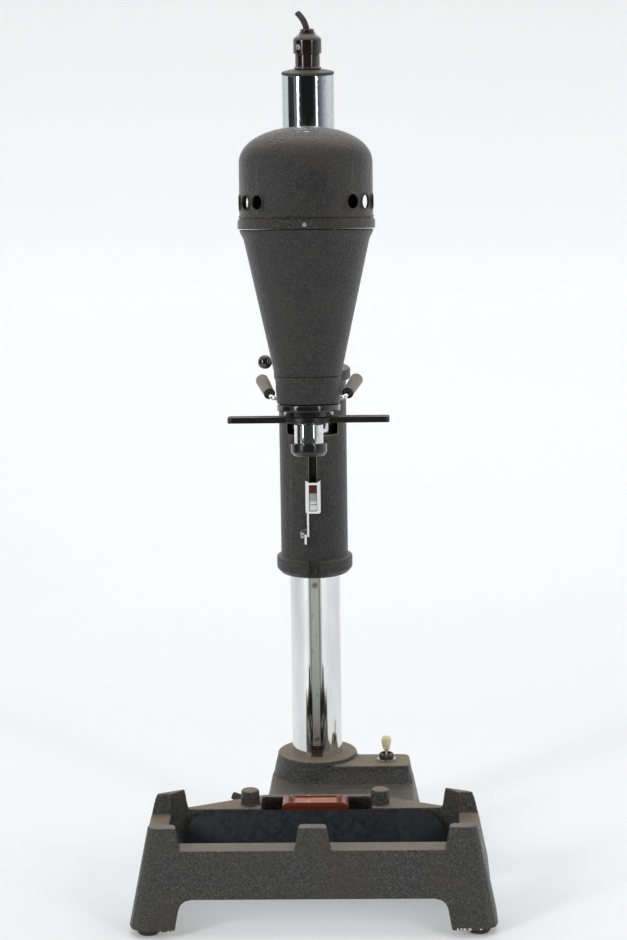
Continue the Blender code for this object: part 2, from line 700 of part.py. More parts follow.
def head_arm():
    """A saddle on the sleeve and a leaning tongue that carries the film stage."""
    rear = COLUMN_Y - 0.0150
    tongue_below = [(-0.0290, 0.3657), (-0.0160, 0.3645)]
    tongue_above = [(-0.0080, 0.3770), (-0.0140, 0.3713), (-0.0290, 0.3713)]
    saddle = [(0.0200, 0.3580), (rear, 0.3575), (rear, 0.3800), (0.0300, 0.3800)]
    side = leaned(tongue_below) + saddle + leaned(tongue_above)
    stand = Matrix(((0, 0, 1, 0), (1, 0, 0, 0), (0, 1, 0, 0), (0, 0, 0, 1)))
    arm = plate("head_arm", side, 0.024, "hammertone", matrix=stand)
    hollow = cylinder("arm_saddle", SLEEVE_R + GAP, (0, COLUMN_Y, 0.34), (0, COLUMN_Y, 0.40),
                      cutter=True, segments=48)
    cut(arm, hollow)


def clamp():
    """A hub on the ear of the sleeve's upper ring, with a lever that ends in a ball."""
    middle = Vector((-0.0232, COLUMN_Y - 0.0207, 0.3985))
    reach = Vector((0.0029, 0.0, 0.0))
    cylinder("clamp_hub", 0.0044, middle + reach, middle - reach, "steel", segments=28)
    ball = Vector((-0.0356, COLUMN_Y - 0.0300, 0.4004))
    direction = (ball - middle).normalized()
    cylinder("clamp_lever", 0.0016, middle + direction * 0.0056, ball - direction * 0.0058, "chrome")
    bm = bmesh.new()
    bmesh.ops.create_uvsphere(bm, u_segments=16, v_segments=10, radius=0.0055)
    bmesh.ops.translate(bm, vec=ball, verts=bm.verts)
    knob = add_object("ball_knob", mesh_from(bm, "ball_knob"), "gloss_black")
    knob.data.shade_smooth()


def index_window():
    front = COLUMN_Y - SLEEVE_R - GAP
    outline = rounded([(-0.0059, 0.2794), (0.0059, 0.2794), (0.0059, 0.3064), (-0.0059, 0.3064)],
                      [0.0018, 0.0018, 0.0008, 0.0008])
    stand = Matrix(((1, 0, 0, 0), (0, 0, -1, front - 0.0010), (0, 1, 0, 0), (0, 0, 0, 1)))
    bezel = plate("index_bezel", outline, 0.0020, "chrome", matrix=stand)
    opening = box("bezel_opening", (-0.0032, front - 0.0100, 0.2813), (0.0032, front + 0.0100, 0.3023),
                  cutter=True)
    leg = box("bezel_leg", (-0.0050, front - 0.0018, 0.2606), (-0.0034, front - 0.0002, 0.2820), "chrome")
    notch = box("bezel_notch", (-0.0031, front - 0.0100, 0.3046), (0.0031, front + 0.0100, 0.3100), cutter=True)
    join(bezel, leg)
    cut(bezel, opening, notch)
    box("index_glass", (-0.0029, front - 0.0013, 0.2816), (0.0029, front - 0.0005, 0.3020), "glass")
    box("index_lever", (-0.0069, front - 0.0060, 0.2555), (-0.0053, front - 0.0006, 0.2680), "chrome")
    cylinder("index_thumb_screw", 0.0033, (-0.0072, front - 0.0038, 0.2634), (-0.0099, front - 0.0038, 0.2634),
             "chrome", segments=16)


# Film stage and lens ----------------------------------------------------------------------------

def film_stage():
    half, depth = STAGE_HALF_LENGTH, STAGE_HALF_DEPTH
    bar = rounded([(-half, -depth), (half, -depth), (half, depth), (-half, depth)], 0.0030)
    middle = (STAGE_BOTTOM + STAGE_TOP) / 2
    thickness = STAGE_TOP - STAGE_BOTTOM
    place = Matrix.Translation((0.0, AXIS_Y, middle))
    stage = plate("film_stage", bar, thickness, "gloss_black", matrix=place)
    disc = cylinder("stage_disc", STAGE_DISC_R, (0, AXIS_Y, STAGE_BOTTOM - 0.00005),
                    (0, AXIS_Y, STAGE_TOP - 0.0004), "gloss_black", segments=48)
    join(stage, disc)
    recess = cylinder("barrel_recess", 0.0114, (0, AXIS_Y, STAGE_BOTTOM - 0.005),
                      (0, AXIS_Y, STAGE_BOTTOM + 0.0027), cutter=True, segments=40)
    gate = box("film_gate", (-0.0055, AXIS_Y - 0.0040, 0.3700), (0.0055, AXIS_Y + 0.0040, 0.3800), cutter=True)
    track = box("film_track", (-0.0700, AXIS_Y - 0.0048, STAGE_TOP - 0.0005), (0.0700, AXIS_Y + 0.0048, 0.3800),
                cutter=True)
    cut(stage, recess, gate, track)
    for x, word in ((-PIN_X, "left"), (PIN_X, "right")):
        cylinder(f"guide_pin_{word}", 0.00125, (x, AXIS_Y + PIN_Y, STAGE_TOP + GAP),
                 (x, AXIS_Y + PIN_Y, 0.3935), "steel", segments=20)


def lens():
    centre = (0.0, AXIS_Y)
    top, bottom = 0.3700, 0.3560
    tube("lens_barrel", BARREL_R, 0.0085, bottom, top, "chrome", centre, 28)
    ring_top, ring_bottom = bottom - GAP, 0.3467
    turned("lens_arm", [
        (LENS_RING_R, ring_top),
        (LENS_RING_R, ring_bottom + 0.0032),
        (LENS_RING_R - 0.0008, ring_bottom + 0.0012),
        (LENS_RING_R - 0.0026, ring_bottom),
        (0.0082, ring_bottom),
        (0.0082, ring_top),
    ], "gloss_black", centre, 28, closed=True)
    glass_z = 0.3512
    turned("lens_glass", [
        (0.0, glass_z + 0.0026),
        (0.0045, glass_z + 0.0021),
        (0.0079, glass_z + 0.0006),
        (0.0079, glass_z - 0.0006),
        (0.0045, glass_z - 0.0021),
        (0.0, glass_z - 0.0026),
    ], "glass", centre, 20)


def lens_web():
    """The level web that carries the leaning lens ring from inside the column's sleeve."""
    web = box("lens_web", (-0.0024, AXIS_Y + 0.0065, 0.3460), (0.0024, COLUMN_Y - 0.0208, 0.3520),
              "gloss_black")
    join(parts.objects["lens_arm"], web)


# Lamphouse --------------------------------------------------------------------------------------

def condenser():
    centre = (0.0, AXIS_Y)
    foot = STAGE_TOP + 0.0004
    ring = turned("pressure_ring", [
        (0.0230, RING_TOP),
        (0.0235, RING_TOP - 0.0005),
        (0.0235, RING_BOTTOM + 0.0005),
        (0.0230, RING_BOTTOM),
        (0.0178, RING_BOTTOM),
        (0.0178, foot),
        (0.0112, foot),
        (0.0112, RING_TOP),
    ], "gloss_black", centre, 32, closed=True)
    for side in (-1, 1):
        hole = cylinder(f"pin_hole_{side}", 0.00155, (side * PIN_X, AXIS_Y + PIN_Y, 0.370),
                        (side * PIN_X, AXIS_Y + PIN_Y, 0.390), cutter=True, segments=20)
        cut(ring, hole)
    cylinder("pressure_glass", 0.0109, (0.0, AXIS_Y, foot + 0.0002), (0.0, AXIS_Y, foot + 0.0017),
             "glass", segments=28)
    cell_bottom = RING_TOP + GAP
    tube("condenser_cell", 0.0158, 0.0150, cell_bottom, 0.4050, "satin_black", centre, 28)
    # Two plano-convex lenses with their round faces toward each other.
    for word, flat, sign in (("lower", 0.3870, 1), ("upper", 0.4030, -1)):
        profile = [
            (0.0, flat + sign * 0.0068),
            (0.0080, flat + sign * 0.0052),
            (0.0147, flat + sign * 0.0012),
            (0.0147, flat),
            (0.0, flat),
        ]
        turned(f"condenser_{word}", profile[::sign], "glass", centre, 24)


def lamphouse():
    centre = (0.0, AXIS_Y)
    collar_top = CONE_BOTTOM - GAP
    collar = turned("lamphouse_collar", [
        (0.0245, collar_top),
        (0.0234, COLLAR_BOTTOM),
        (0.0208, COLLAR_BOTTOM),
        (0.0212, collar_top - 0.0030),
        (0.0165, collar_top - 0.0016),
        (0.0165, collar_top),
    ], "hammertone", centre, 32, closed=True)
    axle = cylinder("yoke_holes", YOKE_ROD_R + 0.0004, (-0.030, AXIS_Y, YOKE_Z), (0.030, AXIS_Y, YOKE_Z),
                    cutter=True, segments=20)
    cut(collar, axle)

    turned("lamphouse_cone", [
        (0.0495, CONE_TOP),
        (0.0490, CONE_TOP - 0.0020),
        (0.0476, CONE_TOP - 0.0048),
        (0.0463, CONE_TOP - 0.0080),
        (0.0297, 0.4300),
        (0.0247, CONE_BOTTOM),
        (0.0165, CONE_BOTTOM),
        (0.0165, CONE_BOTTOM + SHELL),
        (0.0234, CONE_BOTTOM + SHELL),
        (0.0283, 0.4300),
        (0.0448, CONE_TOP - 0.0080),
        (0.0470, CONE_TOP - 0.0020),
        (0.0470, CONE_TOP),
    ], "hammertone", centre, 40, closed=True)
    dome(centre)


def dome(centre):
    """A spun shell with a superelliptic crown, vent holes at its sides and three screws in its rim."""
    spring = 0.5625
    rise = DOME_TOP - spring
    power = 2.15
    thickness = SHELL * 1.6
    crown, lining = [], []
    steps = 8
    for step in range(steps + 1):
        turn = math.pi / 2 * step / steps
        across = math.sin(turn) ** (2 / power)
        up = max(math.cos(turn), 0.0) ** (2 / power)
        crown.append((DOME_R * across, spring + rise * up))
        if step % 2 == 0:
            lining.append(((DOME_R - thickness) * across, spring + (rise - thickness) * up))
    crown[0] = (0.0, DOME_TOP)
    lining[0] = (0.0, lining[0][1])
    rim = DOME_RIM_BOTTOM
    skirt_outer = [
        (DOME_R, rim + 0.0094),
        (DOME_R + 0.0006, rim + 0.0086),
        (DOME_R + 0.0006, rim + 0.0074),
        (DOME_RIM_R - 0.0003, rim + 0.0068),
        (DOME_RIM_R, rim + 0.0060),
        (DOME_RIM_R, rim),
    ]
    skirt_inner = [(DOME_R - 0.0004, rim), (DOME_R - 0.0004, rim + 0.0070), (DOME_R - SHELL, rim + 0.0095)]
    shell = turned("lamphouse_dome", crown + skirt_outer + skirt_inner + lining[::-1], "hammertone", centre, 40)
    drill = bmesh.new()
    for number in range(10):
        side = 1 if number % 2 == 0 else -1
        angle = side * math.radians(45 + 18 * (number // 2))
        outward = Vector((math.sin(angle), -math.cos(angle), 0.0))
        turn = outward.to_track_quat("Z", "Y").to_matrix().to_4x4()
        spot = Vector((0.0, AXIS_Y, VENT_Z)) + outward * DOME_R
        bmesh.ops.create_cone(drill, cap_ends=True, segments=12, radius1=VENT_R, radius2=VENT_R, depth=0.012,
                              matrix=Matrix.Translation(spot) @ turn)
    cut(shell, add_object("vent_drills", mesh_from(drill, "vent_drills"), "steel", cutter=True))
    for number in range(3):
        angle = math.radians(120 * number)
        outward = Vector((math.sin(angle), -math.cos(angle), 0.0))
        spot = Vector((0.0, AXIS_Y, rim + 0.0030)) + outward * (DOME_RIM_R + GAP)
        cylinder(f"dome_screw_{number + 1}", 0.0016, spot, spot + outward * 0.0009, "steel", segments=20)
    lamp(centre, DOME_TOP - thickness - GAP)


def lamp(centre, inside_top):
    """The socket under the crown of the dome, and the lamp that hangs in it."""
    turned("lamp_socket", [
        (0.0, inside_top - 0.0004),
        (0.0050, inside_top - 0.0008),
        (0.0060, inside_top - 0.0040),
        (0.0150, inside_top - 0.0070),
        (0.0150, inside_top - 0.0300),
        (0.0128, inside_top - 0.0320),
        (0.0078, inside_top - 0.0320),
        (0.0078, inside_top - 0.0100),
        (0.0, inside_top - 0.0100),
    ], "satin_black", centre, 24)
    neck = inside_top - 0.0110
    turned("lamp_bulb", [
        (0.0, neck),
        (0.0040, neck - 0.0010),
        (0.0074, neck - 0.0030),
        (0.0074, neck - 0.0230),
        (0.0100, neck - 0.0330),
        (0.0180, neck - 0.0440),
        (0.0222, neck - 0.0560),
        (0.0225, neck - 0.0640),
        (0.0205, neck - 0.0740),
        (0.0150, neck - 0.0820),
        (0.0080, neck - 0.0858),
        (0.0, neck - 0.0868),
    ], "opal_glass", centre, 20)


def lift_yoke():
    """A bent bar through the collar and round the front of the condenser, with a grip on each end."""
    bow_radius = 0.0188
    half = []
    for step in range(9):
        angle = math.pi / 2 * step / 8
        half.append((bow_radius * math.sin(angle), AXIS_Y - bow_radius * math.cos(angle), YOKE_Z))
    side = [(0.0240, AXIS_Y, YOKE_Z), (0.0266, AXIS_Y + 0.0012, YOKE_Z + 0.0005),
            (0.0280, AXIS_Y + 0.0040, YOKE_Z + 0.0014), (0.0290, AXIS_Y + 0.0078, YOKE_Z + 0.0027)]
    right = half[1:] + side
    left = [(-x, y, z) for x, y, z in right[::-1]]
    rod("lift_yoke", left + [half[0]] + right, YOKE_ROD_R, "chrome", resolution=2)
    for sign, word in ((-1, "left"), (1, "right")):
        direction = Vector((sign * 0.0070, 0.0276, 0.0093)).normalized()
        small = Vector((sign * 0.0290, AXIS_Y + 0.0078, YOKE_Z + 0.0027)) + direction * GAP * 1.5
        profile = [
            (0.0, 0.0300), (0.0030, 0.0296), (0.0045, 0.0284), (0.0049, 0.0268),
            (0.0041, 0.0004), (0.0038, 0.0), (0.0, 0.0),
        ]
        grip = turned(f"lift_grip_{word}", profile, "grey_handle", segments=20)
        grip.location = small
        grip.rotation_mode = "QUATERNION"
        grip.rotation_quaternion = direction.to_track_quat("Z", "Y")


def build():
    clear_scene()
    make_collections()
    for name, (colour, metallic, roughness) in FINISHES.items():
        make_material(name, colour, metallic, roughness)
    base_casting()
    base_fittings()
    electrics()
    column()
    connector()
    carriage()
    head_arm()
    clamp()
    index_window()
    upright = list(bpy.data.objects)
    film_stage()
    lens()
    condenser()
    lamphouse()
    lift_yoke()
    lean_since(upright)
    lens_web()


build()
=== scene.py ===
"""Looks of the photo enlarger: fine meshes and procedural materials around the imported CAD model."""

import math

import bmesh
import bpy
from mathutils import Matrix, Vector


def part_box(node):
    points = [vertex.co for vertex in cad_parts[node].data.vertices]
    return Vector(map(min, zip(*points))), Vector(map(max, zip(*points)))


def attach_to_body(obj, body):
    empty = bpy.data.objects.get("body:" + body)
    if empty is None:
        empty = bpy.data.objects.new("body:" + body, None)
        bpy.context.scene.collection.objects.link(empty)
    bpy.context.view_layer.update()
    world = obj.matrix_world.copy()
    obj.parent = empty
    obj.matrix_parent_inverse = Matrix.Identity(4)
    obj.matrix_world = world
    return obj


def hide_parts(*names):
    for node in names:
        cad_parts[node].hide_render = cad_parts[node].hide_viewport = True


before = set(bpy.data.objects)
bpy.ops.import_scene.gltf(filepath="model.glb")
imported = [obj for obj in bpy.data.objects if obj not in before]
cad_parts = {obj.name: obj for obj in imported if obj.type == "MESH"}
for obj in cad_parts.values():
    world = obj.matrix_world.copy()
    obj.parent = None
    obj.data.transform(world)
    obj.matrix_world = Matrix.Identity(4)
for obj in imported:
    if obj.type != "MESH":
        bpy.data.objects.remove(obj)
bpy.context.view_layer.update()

# Places read from the frame, in metres.
COLUMN_LOW, COLUMN_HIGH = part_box("column_tube")
COLUMN_Y = (COLUMN_LOW.y + COLUMN_HIGH.y) / 2
COLUMN_R = (COLUMN_HIGH.x - COLUMN_LOW.x) / 2
AXIS_Y = COLUMN_Y - 0.125
SLEEVE_LOW, SLEEVE_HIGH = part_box("carriage_sleeve")
SLEEVE_TOP = SLEEVE_HIGH.z - 0.013
ON_COLUMN = Vector((0.0, COLUMN_Y, 0.0))
ON_AXIS = Vector((0.0, AXIS_Y, 0.0))
SIDES = ((-1, "left"), (1, "right"))

# The lens and the lamphouse lean back together about a line across the film stage.
LEAN_CENTRE = Vector((0.0, AXIS_Y, 0.375))
LEAN = (Matrix.Translation(LEAN_CENTRE) @ Matrix.Rotation(math.radians(-7.0), 4, "X")
        @ Matrix.Translation(-LEAN_CENTRE))


def upright(node):
    """The box that a leaning CAD node has before the lean."""
    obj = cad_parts[node]
    turn = LEAN.inverted() @ obj.matrix_world
    places = [turn @ vertex.co for vertex in obj.data.vertices]
    low = Vector([min(place[axis] for place in places) for axis in range(3)])
    high = Vector([max(place[axis] for place in places) for axis in range(3)])
    return low, high


DOME_LOW, DOME_HIGH = upright("lamphouse_dome")
AXLE_Z = 0.3896


# Camera

def linked(name, data):
    obj = bpy.data.objects.new(name, data)
    bpy.context.scene.collection.objects.link(obj)
    return obj


def add_camera():
    """At the front, a little to the right and above, looking down by 12 degrees."""
    distance, height = 2.18, 0.7795
    azimuth, pitch, roll = math.radians(1.4), math.radians(12.2), math.radians(-0.84)
    data = bpy.data.cameras.new("camera")
    data.sensor_width = 36.0
    data.lens = 108.15
    data.clip_start, data.clip_end = 0.05, 60.0
    camera = linked("camera", data)
    turn = Matrix.Rotation(azimuth, 4, "Z")
    place = ON_COLUMN + turn @ Vector((0.0, -distance, height))
    tilt = Matrix.Rotation(math.radians(90) - pitch, 4, "X") @ Matrix.Rotation(roll, 4, "Z")
    camera.matrix_world = Matrix.Translation(place) @ turn @ tilt
    bpy.context.scene.camera = camera


add_camera()


# Node helpers

class Nodes:
    """A node tree, with short calls for the nodes used here."""

    def __init__(self, tree, coords):
        self.tree = tree
        self.coords = self.node("TexCoord").outputs[coords]

    def node(self, kind, inputs=(), **settings):
        """A new node with its settings and its inputs, each a value or a link."""
        made = self.tree.nodes.new("ShaderNode" + kind)
        for key, value in settings.items():
            setattr(made, key, value)
        for socket, value in dict(inputs).items():
            self.feed(made.inputs[socket], value)
        return made

    def feed(self, target, value):
        if isinstance(value, bpy.types.NodeSocket):
            self.tree.links.new(value, target)
        else:
            target.default_value = (*value, 1.0) if target.type == "RGBA" else value

    def noise(self, scale, detail=3.0, roughness=0.5, stretch=None):
        vector = self.coords
        if stretch:
            vector = self.node("Mapping", {"Scale": stretch, "Vector": vector}).outputs["Vector"]
        inputs = {"Scale": scale, "Detail": detail, "Roughness": roughness, "Vector": vector}
        return self.node("TexNoise", inputs).outputs["Fac"]

    def ramp(self, value, low, high, start=0.0, end=1.0, smooth=True):
        inputs = {"Value": value, "From Min": low, "From Max": high, "To Min": start, "To Max": end}
        kind = "SMOOTHSTEP" if smooth else "LINEAR"
        return self.node("MapRange", inputs, interpolation_type=kind).outputs["Result"]

    def math(self, operation, first, second=0.0):
        return self.node("Math", {0: first, 1: second}, operation=operation).outputs[0]

    def plus(self, first, second):
        return self.math("ADD", first, second)

    def times(self, first, *others):
        for other in others:
            first = self.math("MULTIPLY", first, other)
        return first

    def mix(self, share, first, second):
        return self.node("Mix", {0: share, 6: first, 7: second}, data_type="RGBA").outputs[2]

    def facing_up(self, low=0.35, high=0.9):
        normal = self.node("NewGeometry").outputs["Normal"]
        return self.ramp(self.node("SeparateXYZ", {0: normal}).outputs["Z"], low, high)

    def along(self, axis="Z"):
        return self.node("SeparateXYZ", {0: self.coords}).outputs[axis]

    def edges(self, low=0.52, high=0.62):
        return self.ramp(self.node("NewGeometry").outputs["Pointiness"], low, high)

    def spots(self, places):
        """A mask of small ragged patches: each place is (x, y, z, radius)."""
        ragged = self.times(self.math("SUBTRACT", self.noise(900.0), 0.5), 0.0022)
        total = 0.0
        for x, y, z, radius in places:
            away = self.node("VectorMath", {0: self.coords, 1: (x, y, z)}, operation="DISTANCE")
            inside = self.math("LESS_THAN", self.plus(away.outputs["Value"], ragged), radius)
            total = self.math("MAXIMUM", total, inside)
        return total

    def bump(self, height, strength, distance):
        inputs = {"Strength": strength, "Distance": distance, "Height": height}
        return self.node("Bump", inputs).outputs["Normal"]


class Shader(Nodes):
    """A material's node tree."""

    def __init__(self, name):
        self.material = bpy.data.materials.new(name)
        self.material.use_nodes = True
        super().__init__(self.material.node_tree, "Object")
        self.surface = self.tree.nodes["Principled BSDF"]

    def finish(self, colour, roughness, metallic=0.0, normal=None, extra=()):
        inputs = {"Base Color": colour, "Roughness": roughness, "Metallic": metallic, **dict(extra)}
        if normal:
            inputs["Normal"] = normal
        for name, value in inputs.items():
            self.feed(self.surface.inputs[name], value)
        return self.material


# Materials

DUST = (0.285, 0.225, 0.16)
CHIP_AND_GLINT_COLOUR = (0.8, 0.79, 0.76)


def hammertone(name, dust=0.6, dark=0.018, light=0.044, chips_and_glints=(), wear_and_edge_highlight=0.0, grime=0.35, reach=(0.55, 0.95),
               settle=None, polish=0.0):
    """Charcoal hammered enamel: fine dimples with lighter crests and painted glints, dust on upward faces,
    edges lightened partly by rubbing and partly as painted highlight, ragged chips and, on the base, one
    painted glint spot.
    """
    shader = Shader(name)
    grain = shader.noise(620.0, 2.0, 0.45)
    fine = shader.noise(1300.0, 3.0, 0.6)
    crest = shader.ramp(shader.plus(grain, shader.times(fine, 0.45)), 0.62, 0.86)
    colour = shader.mix(crest, (dark, dark, dark * 0.97), (light, light, light * 0.96))
    # Painted highlight: small bright specks stand in for glints on the crests.
    painted_glint = shader.ramp(shader.noise(880.0, 3.0, 0.6), 0.6, 0.68, 0.0, 0.8)
    colour = shader.mix(painted_glint, colour, (light * 3.4, light * 3.35, light * 3.2))
    grimy = shader.ramp(shader.noise(22.0), 0.35, 0.75, 0.0, grime)
    colour = shader.mix(grimy, colour, (0.046, 0.041, 0.034))
    patchy = shader.ramp(shader.noise(70.0, 5.0, 0.65), 0.25, 0.75, 0.55, 1.0)
    settled = shader.times(shader.facing_up(*reach), patchy, dust)
    if settle:
        settled = shader.times(settled, settle(shader))
    colour = shader.mix(settled, colour, DUST)
    rough = shader.ramp(fine, 0.2, 0.8, 0.34 - polish, 0.46 - polish)
    rough = shader.math("MAXIMUM", rough, shader.times(settled, 0.85))
    # Lighter edges: partly rubbed paint, partly painted highlight where edges catch the light.
    if wear_and_edge_highlight:
        worn_and_highlit_edges = shader.times(shader.edges(), shader.ramp(shader.noise(160.0, 4.0), 0.35, 0.7, 0.2, 1.0), wear_and_edge_highlight)
        colour = shader.mix(worn_and_highlit_edges, colour, (0.17, 0.155, 0.13))
    # White spots: paint chips, and on the base one painted highlight.
    if chips_and_glints:
        colour = shader.mix(shader.spots(chips_and_glints), colour, CHIP_AND_GLINT_COLOUR)
    normal = shader.bump(shader.plus(grain, shader.times(fine, 0.35)), 0.9, 0.0013)
    return shader.finish(colour, rough, 0.0, normal, {"Specular IOR Level": 0.45})


def base_dust(shader):
    """Dust lies thickest on the switch housing, less on the front rails and least on the low ledge."""
    rearward = shader.ramp(shader.along("Y"), -0.1, 0.045, 0.72, 1.0)
    return shader.times(rearward, shader.ramp(shader.along(), 0.059, 0.0635, 0.3, 1.0))


def chrome(name, mottled=False):
    """Bright plate with faint streaks; on the column, pits and blue haze towards the top, and a painted dark
    reflection down each side of the strip on the front.
    """
    shader = Shader(name)
    haze = shader.noise(60.0, 5.0, 0.6, stretch=(1.0, 1.0, 0.25))
    colour = shader.mix(shader.ramp(haze, 0.3, 0.8), (0.8, 0.8, 0.79), (0.66, 0.67, 0.68))
    rough = shader.ramp(haze, 0.3, 0.8, 0.05, 0.13)
    height = shader.times(shader.noise(900.0, 2.0, 0.5, stretch=(1.0, 1.0, 0.02)), 0.25)
    if mottled:
        upper = shader.ramp(shader.along(), 0.4, 0.57)
        pits = shader.times(shader.ramp(shader.noise(420.0, 6.0, 0.75), 0.52, 0.68), upper)
        colour = shader.mix(shader.times(pits, 0.7), colour, (0.16, 0.21, 0.25))
        colour = shader.mix(shader.times(upper, 0.55), colour, (0.36, 0.44, 0.48))
        # Painted reflection: a dark band down each side of the strip, on the front of the column.
        painted_dark_reflection = shader.ramp(shader.math("ABSOLUTE", shader.along("X")), 0.0058, 0.0036)
        front = shader.math("LESS_THAN", shader.along("Y"), COLUMN_Y)
        colour = shader.mix(shader.times(painted_dark_reflection, front, 0.85), colour, (0.115, 0.125, 0.12))
        rough = shader.plus(rough, shader.times(pits, 0.1))
        height = shader.plus(height, shader.times(pits, 0.3))
    return shader.finish(colour, rough, 1.0, shader.bump(height, 0.12, 0.0002))


def enamel(name, colour, roughness=0.25, dust=0.25, wear_and_edge_highlight=0.0, metallic=0.0, coat=0.0, orange=0.05):
    """Smooth paint or moulding with a slight ripple, settled dust, and edges lightened partly as rubbed paint
    and partly as painted highlight.
    """
    shader = Shader(name)
    ripple = shader.noise(260.0)
    tint = tuple(min(1.0, c * 1.6 + 0.006) for c in colour)
    base = shader.mix(shader.ramp(shader.noise(45.0, 4.0), 0.35, 0.75, 0.0, 0.6), colour, tint)
    patchy = shader.ramp(shader.noise(90.0, 5.0), 0.3, 0.7, 0.5, 1.0)
    specks = shader.ramp(shader.noise(700.0, 5.0, 0.7), 0.66, 0.74, 0.0, 0.5)
    settled = shader.math("MAXIMUM", shader.times(shader.facing_up(0.3, 0.95), patchy), specks)
    settled = shader.times(settled, dust)
    base = shader.mix(settled, base, DUST)
    # Lighter edges: partly rubbed paint, partly painted highlight where edges catch the light.
    if wear_and_edge_highlight:
        base = shader.mix(shader.times(shader.edges(0.53, 0.6), wear_and_edge_highlight), base, (0.34, 0.33, 0.31))
    rough = shader.ramp(ripple, 0.3, 0.7, roughness * 0.85, roughness * 1.2)
    rough = shader.plus(rough, shader.times(settled, 0.5))
    normal = shader.bump(ripple, orange, 0.0003)
    return shader.finish(base, rough, metallic, normal, {"Coat Weight": coat, "Coat Roughness": 0.08})


def tray_red():
    """Red-brown moulding, dark and glossy on its walls, with painted light on its floor: pale terracotta
    where light falls, with dust on it.
    """
    shader = Shader("tray_red")
    patchy = shader.ramp(shader.noise(130.0, 4.0), 0.3, 0.7, 0.75, 1.0)
    # Painted light: upward faces inside the dish are painted pale as lit, with patches of dust.
    inside = shader.ramp(shader.along(), 0.0657, 0.065)
    floor = shader.times(shader.facing_up(0.6, 0.97), inside, patchy)
    colour = shader.mix(floor, (0.165, 0.024, 0.01), (0.52, 0.25, 0.17))
    colour = shader.mix(shader.times(shader.edges(0.53, 0.6), 0.35), colour, (0.42, 0.13, 0.07))
    return shader.finish(colour, shader.ramp(floor, 0.0, 1.0, 0.3, 0.62), extra={"Coat Weight": 0.15})


def steel(name, colour=(0.5, 0.49, 0.46), roughness=0.32):
    """Plain turned steel with fine lines and a little rust bloom."""
    shader = Shader(name)
    lines = shader.noise(1500.0, 2.0, 0.5, stretch=(1.0, 1.0, 0.1))
    bloom = shader.ramp(shader.noise(240.0, 5.0, 0.7), 0.55, 0.72)
    base = shader.mix(shader.times(bloom, 0.55), colour, (0.17, 0.11, 0.07))
    rough = shader.ramp(lines, 0.2, 0.8, roughness * 0.8, roughness * 1.3)
    return shader.finish(base, rough, 0.9, shader.bump(lines, 0.15, 0.0002))


def clear_glass(name):
    shader = Shader(name)
    smear = shader.ramp(shader.noise(120.0, 4.0), 0.3, 0.8, 0.02, 0.1)
    return shader.finish((0.92, 0.96, 0.97), smear, extra={"Transmission Weight": 0.92, "IOR": 1.5})


def opal_glass(name):
    shader = Shader(name)
    cloud = shader.noise(90.0)
    colour = shader.mix(cloud, (0.86, 0.85, 0.82), (0.78, 0.77, 0.73))
    rough = shader.ramp(cloud, 0.3, 0.7, 0.18, 0.3)
    return shader.finish(colour, rough, extra={"Subsurface Weight": 0.2, "Subsurface Scale": 0.004})


def rubber(name, colour=(0.028, 0.025, 0.022)):
    shader = Shader(name)
    grain = shader.noise(1400.0, 4.0, 0.7)
    base = shader.mix(shader.ramp(grain, 0.35, 0.8), colour, tuple(c * 2.4 for c in colour))
    dusty = shader.ramp(shader.noise(150.0, 5.0), 0.45, 0.75, 0.0, 0.35)
    base = shader.mix(dusty, base, (0.12, 0.1, 0.08))
    return shader.finish(base, 0.78, 0.0, shader.bump(grain, 0.3, 0.0003))


def scale_face(name, low, high):
    """The index scale: dark red above, grey in the middle, white with dark marks below."""
    shader = Shader(name)
    share = shader.ramp(shader.along(), low, high, smooth=False)
    red = shader.ramp(share, 0.665, 0.69)
    colour = shader.mix(shader.ramp(share, 0.3, 0.42), (0.78, 0.78, 0.76), (0.36, 0.36, 0.36))
    narrow = shader.math("LESS_THAN", shader.math("ABSOLUTE", shader.along("X")), 0.0024)
    teeth = shader.ramp(shader.noise(620.0, 2.0, 0.5, stretch=(1.0, 1.0, 0.4)), 0.44, 0.5)
    marks = shader.times(shader.ramp(share, 0.205, 0.225), shader.ramp(share, 0.285, 0.265), teeth, narrow)
    colour = shader.mix(marks, colour, (0.03, 0.03, 0.03))
    colour = shader.mix(red, colour, (0.1, 0.018, 0.014))
    return shader.finish(colour, 0.28, extra={"Coat Weight": 0.6, "Coat Roughness": 0.06})


# Chips in the paint, and one painted highlight: x, y, z and radius, in metres.
BASE_CHIPS_AND_GLINT = [
    (-0.0252, 0.0533, 0.0674, 0.0010),
    (-0.0240, 0.0533, 0.0674, 0.0010),
    (-0.0228, 0.0533, 0.0676, 0.0006),
    (-0.0017, 0.0540, 0.0745, 0.0014),
    # Painted highlight: this white spot stands for the glint in a small dark pit.
    (0.0655, 0.0530, 0.0688, 0.0009),
    (-0.0344, 0.0490, 0.0561, 0.0008),
    (-0.1130, -0.1297, 0.0052, 0.0008),
    (-0.1071, -0.1297, 0.0052, 0.0010),
    (-0.1048, -0.1297, 0.0050, 0.0009),
    (-0.1037, -0.1297, 0.0056, 0.0008),
    (0.1066, -0.1297, 0.0062, 0.0007),
    (0.1095, -0.1297, 0.0062, 0.0008),
    (0.1117, -0.1297, 0.0060, 0.0010),
    (0.1158, -0.1297, 0.0058, 0.0011),
    (0.1239, -0.1296, 0.0056, 0.0010),
]


